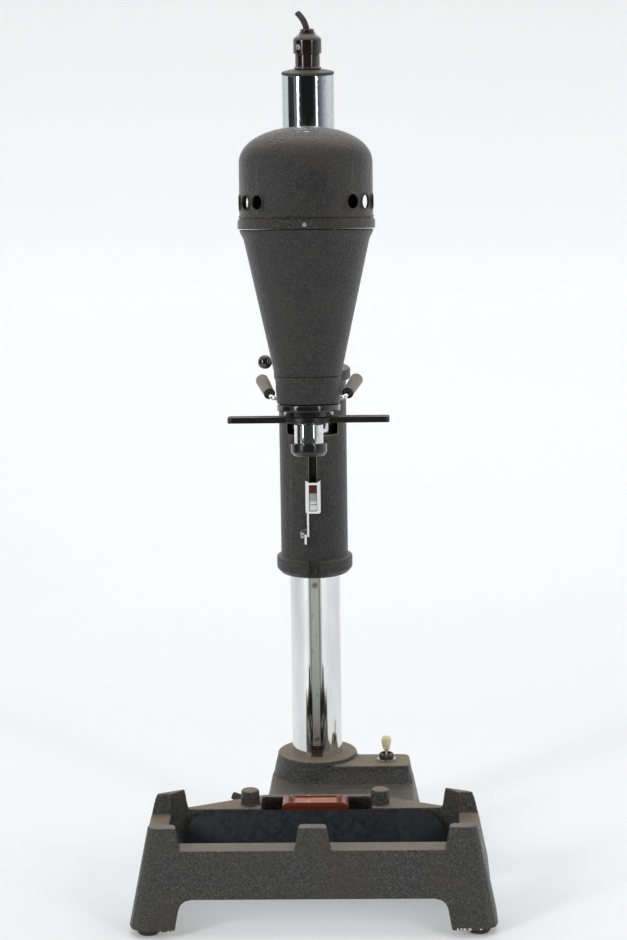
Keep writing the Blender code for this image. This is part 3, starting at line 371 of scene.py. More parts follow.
def make_materials():
    """All finishes by the short names that the pieces use."""
    crown = [(*(LEAN @ Vector((x, AXIS_Y - 0.03, DOME_HIGH.z - 0.0045))), size)
             for x, size in ((-0.0042, 0.0007), (-0.0008, 0.0007), (0.001, 0.0008), (0.0028, 0.0007))]
    low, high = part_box("index_glass")
    return {
        "base": hammertone("base_hammertone", 1.0, 0.022, 0.06, BASE_CHIPS_AND_GLINT, 0.6, 0.5, settle=base_dust),
        "head": hammertone("head_hammertone", 0.35, 0.006, 0.026, (), 0.3, 0.2, polish=0.06),
        "dome": hammertone("dome_hammertone", 0.1, 0.005, 0.02, crown, 0.3, 0.6, (0.3, 0.9), polish=0.17),
        "cap": hammertone("cap_hammertone", 0.5, 0.022, 0.045, (), 0.0, 0.8),
        "vent_rim": hammertone("vent_rim_hammertone", 0.4, 0.018, 0.044, (), 0.0, 0.3),
        "chrome": chrome("bright_chrome"),
        "column": chrome("column_chrome", True),
        "gloss": enamel("gloss_black", (0.008, 0.008, 0.009), 0.14, 0.22, 0.5, coat=0.6),
        "bakelite": enamel("connector_black", (0.01, 0.008, 0.007), 0.16, 0.35, 0.1, coat=0.4),
        "stage": enamel("stage_black", (0.009, 0.009, 0.009), 0.3, 0.3, 0.35, metallic=0.1, orange=0.12),
        "lens_black": enamel("lens_black", (0.008, 0.008, 0.009), 0.2, 0.18, 1.0, coat=0.3),
        "matt_black": enamel("matt_black", (0.01, 0.01, 0.01), 0.55, 0.2),
        "panel": enamel("panel_blue_black", (0.0065, 0.0085, 0.013), 0.42, 0.06, 0.45, orange=0.06),
        "rubbed": enamel("rubbed_edge", (0.2, 0.19, 0.17), 0.45, 0.1),
        "red": tray_red(),
        "ivory": enamel("toggle_ivory", (0.83, 0.74, 0.45), 0.22, 0.08, coat=0.5, orange=0.03),
        "grip": enamel("grip_grey", (0.225, 0.195, 0.165), 0.5, 0.15, 0.15, orange=0.15),
        "steel": steel("steel"),
        "strip": steel("strip_steel", (0.5, 0.52, 0.48), 0.4),
        "brass": steel("brass", (0.62, 0.45, 0.2), 0.3),
        "screw": steel("screw_steel", (0.24, 0.22, 0.19), 0.45),
        "dark_steel": steel("dark_steel", (0.1, 0.085, 0.07), 0.35),
        "copper": steel("copper", (0.6, 0.28, 0.15), 0.3),
        "glass": clear_glass("clear_glass"),
        "opal": opal_glass("opal_glass"),
        "rubber": rubber("black_rubber"),
        "cord": rubber("cord_sheath", (0.032, 0.031, 0.029)),
        "scale": scale_face("index_scale", low.z, high.z),
    }


MATERIALS = make_materials()


# Mesh helpers

def paint(obj, material):
    obj.data.materials.clear()
    obj.data.materials.append(MATERIALS[material])


def repaint(**finishes):
    """Gives CAD nodes that stay in view their procedural finishes."""
    for node, material in finishes.items():
        paint(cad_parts[node], material)


def dress(obj, material, sharp=40.0):
    """One finish, shaded smooth but for the sharp edges."""
    paint(obj, material)
    return shaded(obj, sharp)


def shaded(obj, sharp):
    obj.data.shade_smooth()
    obj.data.set_sharp_from_angle(angle=math.radians(sharp))
    return obj


def plain(name, bm):
    """An object of a bmesh, with no finish."""
    bmesh.ops.recalc_face_normals(bm, faces=bm.faces)
    mesh = bpy.data.meshes.new(name)
    bm.to_mesh(mesh)
    bm.free()
    return linked(name, mesh)


def new_object(name, bm, material, sharp=40.0):
    return dress(plain(name, bm), material, sharp)


def measured(node, box=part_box):
    """A node's lowest and highest corner, its middle and half its width."""
    low, high = box(node)
    return low, high, (low + high) / 2, (high.x - low.x) / 2


def attach(obj, body, slot, *nodes):
    """Puts a finished piece on a body and hides the CAD nodes it stands for; the slot is not used."""
    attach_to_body(obj, body)
    if nodes:
        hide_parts(*nodes)
    return obj


def lean(obj):
    """Leans a piece that was built upright."""
    obj.data.transform(LEAN)
    return obj


def fillet(outline, radius, steps=5, closed=True):
    """An outline of (a, b) points with its corners rounded as far as the sides allow."""
    made = []
    count = len(outline)
    for index in range(count):
        corner = Vector(outline[index][:2])
        wanted = outline[index][2] if len(outline[index]) > 2 else radius
        if not closed and index in (0, count - 1) or wanted == 0:
            made.append(tuple(corner))
            continue
        before = Vector(outline[index - 1][:2]) - corner
        after = Vector(outline[(index + 1) % count][:2]) - corner
        angle = before.angle(after)
        if angle > math.radians(178):
            made.append(tuple(corner))
            continue
        reach = min(wanted / math.tan(angle / 2), before.length * 0.49, after.length * 0.49)
        start = corner + before.normalized() * reach
        end = corner + after.normalized() * reach
        for step in range(steps + 1):
            t = step / steps
            made.append(tuple(start.lerp(corner, t).lerp(corner.lerp(end, t), t)))
    return made


def turns(count):
    return [math.tau * step / count for step in range(count)]


def ring(bm, count, centre, distance, height, teeth=0, depth=0.0):
    """Points about an upright axis, or one point on it; teeth are cut in by up to twice the depth."""
    made = []
    for turn in turns(count if distance > 1e-6 else 1):
        reach = distance + depth * (math.cos(teeth * turn) - 1)
        place = Vector((reach * math.cos(turn), reach * math.sin(turn), height))
        made.append(bm.verts.new(place + Vector((centre.x, centre.y, 0.0))))
    return made


def skin(bm, rings, closed=False, caps=False):
    """Faces between rings of points; a ring of one point makes a fan."""
    for first, second in zip(rings, rings[1:] + rings[:1] if closed else rings[1:]):
        count = max(len(first), len(second))
        for step in range(count if count > 1 else 0):
            here = (first[step % len(first)], second[step % len(second)])
            after = (second[(step + 1) % len(second)], first[(step + 1) % len(first)])
            bm.faces.new(list(dict.fromkeys(here + after)))
    if caps:
        bm.faces.new(rings[0][::-1])
        bm.faces.new(rings[-1])


def lathe(name, outline, centre, material, steps=144, radius=0.0006, closed=True, sharp=40.0):
    """A turned piece from (radius, height) points, with rounded corners."""
    steps = steps
    bm = bmesh.new()
    points = fillet(outline, radius, closed=closed)
    rings = [ring(bm, steps, centre, distance, height) for distance, height in points]
    skin(bm, rings, closed)
    return new_object(name, bm, material, sharp)


def prism(outline, matrix, depth):
    """A bmesh of a flat outline with a thickness, placed by a matrix."""
    bm = bmesh.new()
    face = bm.faces.new([bm.verts.new((x, y, -depth / 2)) for x, y in outline])
    made = bmesh.ops.extrude_face_region(bm, geom=[face])
    moved = [v for v in made["geom"] if isinstance(v, bmesh.types.BMVert)]
    bmesh.ops.translate(bm, vec=(0.0, 0.0, depth), verts=moved)
    bmesh.ops.transform(bm, matrix=matrix, verts=bm.verts)
    return bm


def block(low, high, bevel=0.0004, segments=3):
    """A bmesh of a box with rounded edges."""
    bm = bmesh.new()
    bmesh.ops.create_cube(bm, size=1.0)
    bmesh.ops.scale(bm, vec=Vector(high) - Vector(low), verts=bm.verts)
    bmesh.ops.translate(bm, vec=(Vector(high) + Vector(low)) / 2, verts=bm.verts)
    if bevel:
        bmesh.ops.bevel(bm, geom=bm.edges[:], offset=bevel, segments=segments, profile=0.5, affect="EDGES")
    return bm


def drill(radius, start, end, segments=48, bm=None):
    """A bmesh of a cylinder from start to end, or one more in a bmesh."""
    if bm is None:
        bm = bmesh.new()
    start, end = Vector(start), Vector(end)
    turn = (end - start).to_track_quat("Z", "Y").to_matrix().to_4x4()
    bmesh.ops.create_cone(bm, cap_ends=True, segments=segments, radius1=radius, radius2=radius,
                          depth=(end - start).length, matrix=Matrix.Translation((start + end) / 2) @ turn)
    return bm


def applied(obj, *steps):
    """Adds modifiers given as (type, settings), applies them to the mesh and removes their helpers."""
    helpers = []
    for kind, settings in steps:
        modifier = obj.modifiers.new(kind.lower(), kind)
        for key, value in settings.items():
            setattr(modifier, key, value)
        if "object" in settings:
            helpers.append(settings["object"])
    graph = bpy.context.evaluated_depsgraph_get()
    mesh = bpy.data.meshes.new_from_object(obj.evaluated_get(graph))
    obj.modifiers.clear()
    old = obj.data
    obj.data = mesh
    bpy.data.meshes.remove(old)
    for helper in helpers:
        bpy.data.objects.remove(helper, do_unlink=True)
    return obj


def combined(obj, operation, bms, sharp):
    for number, bm in enumerate(bms):
        tool = plain(f"tool_{number}", bm)
        applied(obj, ("BOOLEAN", {"operation": operation, "solver": "EXACT", "object": tool}))
    return shaded(obj, sharp)


def carve(obj, *bms, sharp=40.0):
    return combined(obj, "DIFFERENCE", bms, sharp)


def unite(obj, *bms, sharp=40.0):
    return combined(obj, "UNION", bms, sharp)


def eased(node, name, material, sharp, body, slot, *steps):
    """Replaces a CAD node with a copy of it whose edges are eased by modifiers."""
    obj = linked(name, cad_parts[node].data.copy())
    applied(obj, ("WELD", {"merge_threshold": 0.000002}), *steps)
    attach(dress(obj, material, sharp), body, slot, node)


def softened(node, name, material, voxel, rounds, body, slot):
    """A fine copy whose edges are eased as a casting has them."""
    eased(node, name, material, 180.0, body, slot,
          ("REMESH", {"mode": "VOXEL", "voxel_size": voxel, "use_smooth_shade": True}),
          ("SMOOTH", {"factor": 0.5, "iterations": rounds}))


def bevelled(node, name, material, bevel, body, slot, segments=3):
    """A copy whose sharp edges are rounded by a bevel."""
    eased(node, name, material, 50.0, body, slot,
          ("BEVEL", {"width": bevel, "segments": segments, "limit_method": "ANGLE",
                     "angle_limit": math.radians(35), "miter_outer": "MITER_ARC", "use_clamp_overlap": True}))


def tube_curve(name, points, radius, material, smooth=True, resolution=6):
    """A round bar on one open spline."""
    curve = bpy.data.curves.new(name, "CURVE")
    curve.dimensions = "3D"
    curve.bevel_depth = radius
    curve.bevel_resolution = resolution
    curve.use_fill_caps = True
    spline = curve.splines.new("POLY")
    spline.points.add(len(points) - 1)
    for point, place in zip(spline.points, points):
        point.co = (*place, 1.0)
    spline.use_smooth = smooth
    curve.materials.append(MATERIALS[material])
    return linked(name, curve)


def ring_tube(bm, points, radius, sides=10):
    """Adds a closed round bead along a loop of points to a bmesh."""
    count = len(points)
    rings = []
    for index in range(count):
        here = Vector(points[index])
        along = (Vector(points[(index + 1) % count]) - Vector(points[index - 1])).normalized()
        turned = along.to_track_quat("Z", "X").to_matrix()
        spokes = [turned @ Vector((math.cos(turn), math.sin(turn), 0)) for turn in turns(sides)]
        rings.append([bm.verts.new(here + spoke * radius) for spoke in spokes])
    for first, second in zip(rings, rings[1:] + rings[:1]):
        shift = min(range(sides), key=lambda s: (second[s].co - first[0].co).length)
        skin(bm, [first, second[shift:] + second[:shift]])


def path_frames(points):
    """At each point of a path: the point and the direction along the path there."""
    for index, place in enumerate(points):
        before = Vector(points[max(index - 1, 0)])
        after = Vector(points[min(index + 1, len(points) - 1)])
        yield Vector(place), (after - before).normalized()


def ribbon(bm, points, radius, sides=6):
    """Adds an open bead along points to a bmesh, closed at both ends."""
    rings = []
    for place, along in path_frames(points):
        across = along.cross(Vector((0.0, 1.0, 0.0))).normalized()
        other = along.cross(across)
        spokes = [across * math.cos(turn) + other * math.sin(turn) for turn in turns(sides)]
        rings.append([bm.verts.new(place + spoke * radius) for spoke in spokes])
    skin(bm, rings, caps=True)


def smooth_path(points, count):
    """Points read from a Catmull-Rom curve through the given ones."""
    path = [Vector(p) for p in points]
    ends = [path[0] * 2 - path[1]] + path + [path[-1] * 2 - path[-2]]
    spans = len(path) - 1
    smooth = []
    for step in range(count):
        place = step / (count - 1) * spans
        index = min(int(place), spans - 1)
        t = place - index
        a, b, c, d = ends[index:index + 4]
        bend = (2 * a - 5 * b + 4 * c - d) * t ** 2 + (3 * b - a - 3 * c + d) * t ** 3
        smooth.append(tuple((2 * b + (c - a) * t + bend) / 2))
    return smooth


# Cord

CORD_WIDTH = 0.005
CORD_ROUTE = [
    (0.0, 0.0, 0.6375),
    (0.0, 0.0, 0.6430),
    (0.0, 0.0, 0.6480),
    (-0.0009, 0.0007, 0.6546),
    (-0.0035, 0.0026, 0.6604),
    (-0.0074, 0.0056, 0.6649),
]


def cord_stub():
    """A flat twin flex: two round cores side by side under one ribbed sheath, cut off short."""
    path = smooth_path([tuple(Vector(p) + ON_COLUMN) for p in CORD_ROUTE], 33)
    bm = bmesh.new()
    core = CORD_WIDTH / 2
    section = []
    for turn in turns(40):
        rib = 0.00022 * max(0.0, math.cos(2 * turn))
        waist = 1.0 - 0.1 * math.exp(-((abs(math.sin(turn)) - 1.0) / 0.1) ** 2)
        thick = (core * 0.8 * waist + rib * 0.4) * math.sin(turn)
        section.append(((core - 0.00012) * math.cos(turn), thick))
    rings = []
    side = Vector((1.0, 0.25, 0.0)).normalized()
    for place, along in path_frames(path):
        across = (side - along * side.dot(along)).normalized()
        other = along.cross(across)
        rings.append([bm.verts.new(place + across * a + other * b) for a, b in section])
    skin(bm, rings, caps=True)
    stub = attach(new_object("cord_sheath", bm, "cord", 60.0), "base", "cable", "cord_stub")
    # The two cut cores show at the end.
    for sign, word in SIDES:
        core_end = place + across * (sign * 0.00115)
        ends = [tuple(core_end - along * 0.0008), tuple(core_end + along * 0.00025)]
        attach(tube_curve(f"cut_core_{word}", ends, 0.00055, "copper", False, 3), "base", "brass")


# Base

def base():
    softened("base_casting", "cast_base", "base", 0.0009, 5, "base", "hammertone")
    for node in ("foot_front_left", "foot_front_right", "foot_rear_left", "foot_rear_right"):
        low, high, centre, radius = measured(node)
        outline = [(0.0, high.z), (radius - 0.0006, high.z), (radius, high.z - 0.001),
                   (radius, low.z + 0.0015), (radius - 0.0012, low.z), (0.0, low.z)]
        foot = lathe(node + "_turned", outline, centre, "rubber", 72, 0.0005, closed=False)
        attach(foot, "base", "rubber", node)
    softened("cable_gland", "cable_tail", "rubber", 0.0003, 4, "base", "rubber")
    bevelled("front_plate", "dark_plate", "panel", 0.00035, "base", "panel")
    softened("red_tray", "red_dish", "red", 0.00035, 4, "tray", "red_plastic")
    switch()
    repaint(plate_spacer_left="steel", plate_spacer_right="steel", plate_screw_left="dark_steel",
            plate_screw_right="dark_steel", switch_body="matt_black", bottom_cover="steel")


def switch():
    """Switch nut with a milled rim, washer, and the ivory lever."""
    low, high, centre, radius = measured("switch_nut")
    bm = bmesh.new()
    teeth = 36
    profile = [(radius * 0.7, low.z), (radius - 0.0003, low.z), (radius, low.z + 0.0004),
               (radius, high.z - 0.0014), (radius - 0.0007, high.z - 0.0003), (radius - 0.0016, high.z),
               (radius * 0.7, high.z)]
    rings = []
    for distance, height in profile:
        depth = 0.00014 if distance > radius - 0.0001 else 0.0
        rings.append(ring(bm, teeth * 4, centre, distance, height, teeth, depth))
    skin(bm, rings, closed=True)
    attach(new_object("milled_nut", bm, "dark_steel", 30.0), "base", "satin_black", "switch_nut")
    low, high, _, radius = measured("switch_washer")
    outline = [(radius, high.z), (radius, low.z), (0.0041, low.z), (0.0041, high.z)]
    attach(lathe("worn_washer", outline, centre, "steel", 72, 0.0002), "base", "steel", "switch_washer")
    softened("toggle_lever", "toggle_bat", "ivory", 0.00022, 6, "toggle", "ivory_plastic")


# Column

def column():
    low, high = COLUMN_LOW, COLUMN_HIGH
    bore = COLUMN_R - 0.0028
    outline = [(COLUMN_R, high.z), (COLUMN_R, low.z), (bore, low.z), (bore, high.z)]
    tube = lathe("bright_column", outline, ON_COLUMN, "column", 192, 0.0003)
    strip_low, strip_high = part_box("guide_strip")
    front = COLUMN_Y - COLUMN_R
    margin = 0.0005
    slot = block((strip_low.x - margin, front - 0.002, strip_low.z - margin),
                 (strip_high.x + margin, front + 0.0016, strip_high.z + margin), 0.0)
    attach(carve(tube, slot, sharp=30.0), "base", "chrome", "column_tube")
    strip = new_object("steel_strip", block(strip_low, strip_high, 0.00015, 2), "strip")
    attach(strip, "base", "steel", "guide_strip")
    for number in (1, 2):
        node = f"strip_screw_{number}"
        level = measured(node)[2].z
        carve(strip, drill(0.0028, (0, strip_low.y - 0.001, level), (0, strip_low.y + 0.0005, level)))
        place = (0.0, strip_low.y + 0.0001, level)
        head = slotted_head(f"{node}_turned", place, (0, -1, 0), 0.0021, 0.0004, "screw", 25.0 * number)
        attach(head, "base", "steel", node)
    flange = 0.0767
    outline = [(COLUMN_R + 0.003, flange + 0.0001), (COLUMN_R + 0.0012, flange + 0.0004),
               (COLUMN_R + 0.0001, flange + 0.0008), (COLUMN_R + 0.0001, flange - 0.0015),
               (COLUMN_R + 0.003, flange - 0.0015)]
    attach(lathe("column_seat", outline, ON_COLUMN, "base", 128, 0.0), "base", "hammertone")
    low, high, _, radius = measured("column_cap")
    top, rim = high.z, high.z - 0.0039
    outline = [(0.006, top), (0.0095, top), (0.015, top - 0.0008), (radius - 0.0005, top - 0.002),
               (radius, top - 0.0028), (radius, rim), (bore - 0.0004, rim), (bore - 0.0004, low.z),
               (0.006, low.z)]
    attach(lathe("dusty_cap", outline, ON_COLUMN, "cap", 128, 0.0005), "base", "hammertone", "column_cap")


def slotted_head(name, place, outward, radius, height, material, turned):
    """A screw head with a slot; place is the middle of its underside."""
    bm = bmesh.new()
    domed = 0.0002
    outline = [(0.0, height + domed), (radius * 0.75, height + domed * 0.6), (radius, height * 0.75),
               (radius, 0.0), (0.0, 0.0)]
    points = fillet(outline, 0.0002, closed=False)
    rings = [ring(bm, 40, Vector(), distance, level) for distance, level in points]
    skin(bm, rings)
    head = new_object(name, bm, material, 35.0)
    length, width = radius * 1.2, radius * 0.14
    slot = block((-length, -width, height * 0.45), (length, width, height + 0.002), 0.0)
    carve(head, slot, sharp=35.0)
    turn = Vector(outward).to_track_quat("Z", "Y").to_matrix().to_4x4()
    turn = turn @ Matrix.Rotation(math.radians(turned), 4, "Z")
    head.data.transform(Matrix.Translation(Vector(place)) @ turn)
    return head


def connector():
    low, high, _, radius = measured("connector_body")
    outline = [(radius - 0.0011, high.z), (radius - 0.0011, low.z + 0.0017), (radius, low.z + 0.0008),
               (radius, low.z), (0.0064, low.z), (0.0064, high.z)]
    body = lathe("connector_lower", outline, ON_COLUMN, "bakelite", 96, 0.0004)
    attach(body, "base", "gloss_black", "connector_body")
    low, high, _, radius = measured("connector_cap")
    shoulder = low.z
    outline = [(0.0034, high.z), (0.005, high.z, 0.0006), (0.0053, shoulder + 0.0174, 0.003),
               (0.0063, shoulder + 0.015, 0.003), (0.0094, shoulder + 0.0126, 0.002),
               (radius, shoulder + 0.011, 0.002), (radius, shoulder + 0.0004), (radius - 0.0006, shoulder),
               (0.0085, shoulder), (0.0085, shoulder + 0.009), (0.0034, shoulder + 0.013)]
    cap = lathe("connector_upper", outline, ON_COLUMN, "bakelite", 96, 0.0005)
    attach(cap, "base", "gloss_black", "connector_cap")
    spot = measured("connector_screw")[2]
    outward = Vector((spot.x, spot.y - COLUMN_Y, 0.0)).normalized()
    place = spot - outward * 0.00035
    screw = slotted_head("connector_screw_turned", place, outward, 0.0021, 0.0006, "steel", 60.0)
    attach(screw, "base", "steel", "connector_screw")


# Carriage

SLEEVE_WALL = (SLEEVE_HIGH.x - SLEEVE_LOW.x) / 2 - 0.0035
WINDOW_HALF, WINDOW_LOW, WINDOW_HIGH, WINDOW_CORNER = 0.0199, 0.3405, 0.356, 0.002


def carriage():
    low, high = SLEEVE_LOW.z, SLEEVE_TOP
    wall, rim, bore = SLEEVE_WALL, (SLEEVE_HIGH.x - SLEEVE_LOW.x) / 2, 0.0218
    outline = [(bore, high), (rim - 0.001, high, 0.0012), (rim, high - 0.0014, 0.001),
               (rim, high - 0.008, 0.0012), (wall, high - 0.0096, 0.0012), (wall, low + 0.0142, 0.0012),
               (rim, low + 0.0128, 0.0016), (rim, low + 0.004, 0.003), (rim - 0.0034, low, 0.0022),
               (bore, low)]
    sleeve = lathe("cast_sleeve", outline, ON_COLUMN, "head", 160, 0.0006)
    front = COLUMN_Y - wall
    corners = [(-WINDOW_HALF, WINDOW_LOW), (WINDOW_HALF, WINDOW_LOW), (WINDOW_HALF, WINDOW_HIGH),
               (-WINDOW_HALF, WINDOW_HIGH)]
    upright_turn = Matrix.Translation((0, COLUMN_Y - 0.02, 0)) @ Matrix.Rotation(math.radians(90), 4, "X")
    window = prism(fillet(corners, WINDOW_CORNER), upright_turn, 0.024)
    slot = block((-0.0031, front - 0.01, 0.2815), (0.0031, COLUMN_Y - 0.01, 0.342), 0.0)
    groove = block((-0.0042, front - 0.01, low - 0.01), (0.0042, front + 0.0005, 0.283), 0.0)
    ear = block((-0.0199, COLUMN_Y - 0.0244, high - 0.002), (-0.0146, COLUMN_Y - 0.0171, high + 0.0129),
                0.0016, 4)
    carve(unite(sleeve, ear), window, slot, groove, sharp=32.0)
    attach(sleeve, "head", "hammertone", "carriage_sleeve")
    bevelled("slot_strip", "dark_strip", "matt_black", 0.0002, "head", "satin_black", 2)
    for node in ("lower_bush", "upper_bush"):
        low, high, _, outer = measured(node)
        bore = COLUMN_R + 0.0003
        outline = [(outer, high.z), (outer, low.z), (bore, low.z), (bore, high.z)]
        attach(lathe(f"{node}_turned", outline, ON_COLUMN, "brass", 128, 0.0003), "head", "brass", node)
    softened("head_arm", "cast_arm", "head", 0.0007, 6, "head", "hammertone")
    worn_edges()


def worn_edges():
    """The window's and the slot's edges are rubbed to a thin light line."""
    bm = bmesh.new()
    corners = [(WINDOW_HALF, WINDOW_HIGH), (WINDOW_HALF, WINDOW_LOW), (-WINDOW_HALF, WINDOW_LOW),
               (-WINDOW_HALF, WINDOW_HIGH)]
    line = fillet(corners, WINDOW_CORNER, closed=False)

    def on_wall(x, z):
        return x, COLUMN_Y - math.sqrt(SLEEVE_WALL * SLEEVE_WALL - x * x) - 0.00002, z

    edge = []
    for (x0, z0), (x1, z1) in zip(line, line[1:]):
        edge += [on_wall(x0 + (x1 - x0) * step / 8, z0 + (z1 - z0) * step / 8) for step in range(8)]
    for side in (-1, 1):
        ribbon(bm, [on_wall(side * 0.0031, 0.34 - 0.0585 * step / 20) for step in range(21)], 0.00018)
    ribbon(bm, edge, 0.00022)
    attach(new_object("rubbed_edges", bm, "rubbed", 60.0), "head", "hammertone")


def clamp():
    low, high, centre, _ = measured("clamp_hub")
    radius, length = (high.y - low.y) / 2, high.x - low.x
    outline = [(0.0, length), (radius * 0.7, length), (radius, length * 0.8), (radius, 0.0), (0.0, 0.0)]
    hub = lathe("clamp_hub_turned", outline, Vector(), "dark_steel", 64, 0.0008, closed=False)
    attach(to_the_left(hub, (high.x, centre.y, centre.z)), "clamp", "steel", "clamp_hub")
    softened("clamp_lever", "clamp_rod", "chrome", 0.0002, 3, "clamp", "chrome")
    low, high, centre, radius = measured("ball_knob")
    bm = bmesh.new()
    bmesh.ops.create_uvsphere(bm, u_segments=64, v_segments=40, radius=radius)
    bmesh.ops.translate(bm, vec=centre, verts=bm.verts)
    attach(new_object("glossy_ball", bm, "gloss", 60.0), "clamp", "gloss_black", "ball_knob")


def to_the_left(obj, place):
    """Turns a piece built along +Z to point along -X from a place."""
    obj.data.transform(Matrix.Translation(place) @ Matrix.Rotation(math.radians(-90), 4, "Y"))
    return obj


def index_window():
    bevelled("index_bezel", "index_frame", "chrome", 0.00035, "index", "chrome")
    face = new_object("index_scale_face", block(*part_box("index_glass"), 0.0002, 2), "scale")
    attach(face, "index", "glass", "index_glass")
    bevelled("index_lever", "index_tongue", "chrome", 0.0003, "index", "chrome")
    low, high, centre, _ = measured("index_thumb_screw")
    radius, length = (high.z - low.z) / 2, high.x - low.x
    bm = bmesh.new()
    teeth = 18
    rings = []
    profile = [(radius * 0.82, 0.0), (radius, 0.0003), (radius, length - 0.0004), (radius * 0.8, length)]
    for distance, level in profile:
        depth = 0.00014 if distance > radius * 0.9 else 0.0
        rings.append(ring(bm, teeth * 6, Vector(), distance, level, teeth, depth))
    skin(bm, rings, caps=True)
    screw = to_the_left(new_object("knurled_screw", bm, "chrome", 30.0), (high.x, centre.y, centre.z))
    attach(screw, "index_screw", "chrome", "index_thumb_screw")


# Stage and lens

def stage_and_lens():
    softened("film_stage", "black_stage", "stage", 0.00035, 5, "head", "black_metal")
    for word in ("left", "right"):
        node = f"guide_pin_{word}"
        low, high, centre, _ = measured(node, upright)
        outline = [(0.0, high.z), (0.00125, high.z - 0.0003), (0.00125, low.z), (0.0, low.z)]
        pin = lathe(f"{node}_turned", outline, centre, "steel", 32, 0.0003, closed=False)
        attach(lean(pin), "head", "steel", node)
    low, high, _, radius = measured("lens_barrel", upright)
    outline = [(radius, high.z), (radius, low.z), (0.0085, low.z), (0.0085, high.z)]
    barrel = lathe("bright_barrel", outline, ON_AXIS, "chrome", 128, 0.0002)
    attach(lean(barrel), "lens", "chrome", "lens_barrel")
    top, bottom = low.z - 0.0003, low.z - 0.0093
    radius, rear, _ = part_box("lens_arm")[1]
    outline = [(radius, top), (radius, bottom + 0.0028, 0.002), (radius - 0.0024, bottom, 0.0014),
               (0.0098, bottom), (0.0082, bottom + 0.0014), (0.0082, top)]
    lens_ring = lean(lathe("lens_ring", outline, ON_AXIS, "lens_black", 128, 0.0003))
    web = block((-0.0024, AXIS_Y + 0.0108, 0.3461), (0.0024, rear, 0.3519), 0.0006, 3)
    attach(unite(lens_ring, web), "lens", "black_metal", "lens_arm")
    low, high, centre, radius = measured("lens_glass", upright)
    middle, bulge = centre.z, high.z - low.z
    face = [(radius * math.sin(a), middle + 0.0006 + (bulge / 2 - 0.0006) * math.cos(a) ** 1.5)
            for a in (math.pi / 2 * s / 12 for s in range(13))]
    back = [(r, 2 * middle - z) for r, z in reversed(face)]
    lens = lathe("ground_lens", face + back, ON_AXIS, "glass", 96, 0.0, closed=False, sharp=30.0)
    attach(lean(lens), "lens", "glass", "lens_glass")


# Lamphouse

def lamphouse():
    low, high, _, radius = measured("pressure_ring", upright)
    shoulder = low.z + 0.004
    outline = [(radius, high.z, 0.0008), (radius, shoulder, 0.0008), (0.0178, shoulder), (0.0178, low.z),
               (0.0112, low.z), (0.0112, high.z)]
    gloss_ring = lathe("gloss_ring", outline, ON_AXIS, "gloss", 160, 0.0002)
    pins = [measured(f"guide_pin_{word}", upright)[2] for word in ("left", "right")]
    for pin in pins:
        ends = (pin.x, pin.y, low.z - 0.005), (pin.x, pin.y, high.z + 0.005)
        carve(gloss_ring, drill(0.00155, *ends, 32))
    attach(lean(gloss_ring), "lamphouse", "black_metal", "pressure_ring")

    low, high, _, radius = measured("lamphouse_collar", upright)
    outline = [(radius, high.z), (radius - 0.0011, low.z, 0.001), (0.0208, low.z), (0.0212, high.z - 0.003),
               (0.0165, high.z - 0.0016), (0.0165, high.z)]
    collar = lathe("cast_collar", outline, ON_AXIS, "head", 144, 0.0005)
    carve(collar, drill(0.0021, (-0.03, AXIS_Y, AXLE_Z), (0.03, AXIS_Y, AXLE_Z), 40))
    attach(lean(collar), "lamphouse", "hammertone", "lamphouse_collar")

    low, high, _, rim = measured("lamphouse_cone", upright)
    top, bottom = high.z, low.z
    outline = [(rim - 0.0012, top), (rim, top - 0.0004), (rim - 0.0005, top - 0.0022, 0.004),
               (rim - 0.003, top - 0.007, 0.01), (0.0297, bottom + 0.0238, 0.05), (0.0247, bottom, 0.0006),
               (0.0165, bottom), (0.0165, bottom + 0.0014), (0.0234, bottom + 0.0014),
               (0.0283, bottom + 0.0238), (0.0448, top - 0.008), (0.047, top - 0.002), (0.047, top)]
    cone = lathe("spun_cone", outline, ON_AXIS, "head", 192, 0.0005)
    attach(lean(cone), "lamphouse", "hammertone", "lamphouse_cone")
    dome()
    grips()
    repaint(lamp_socket="matt_black", lamp_bulb="opal", pressure_glass="glass", condenser_cell="matt_black",
            condenser_lower="glass", condenser_upper="glass")


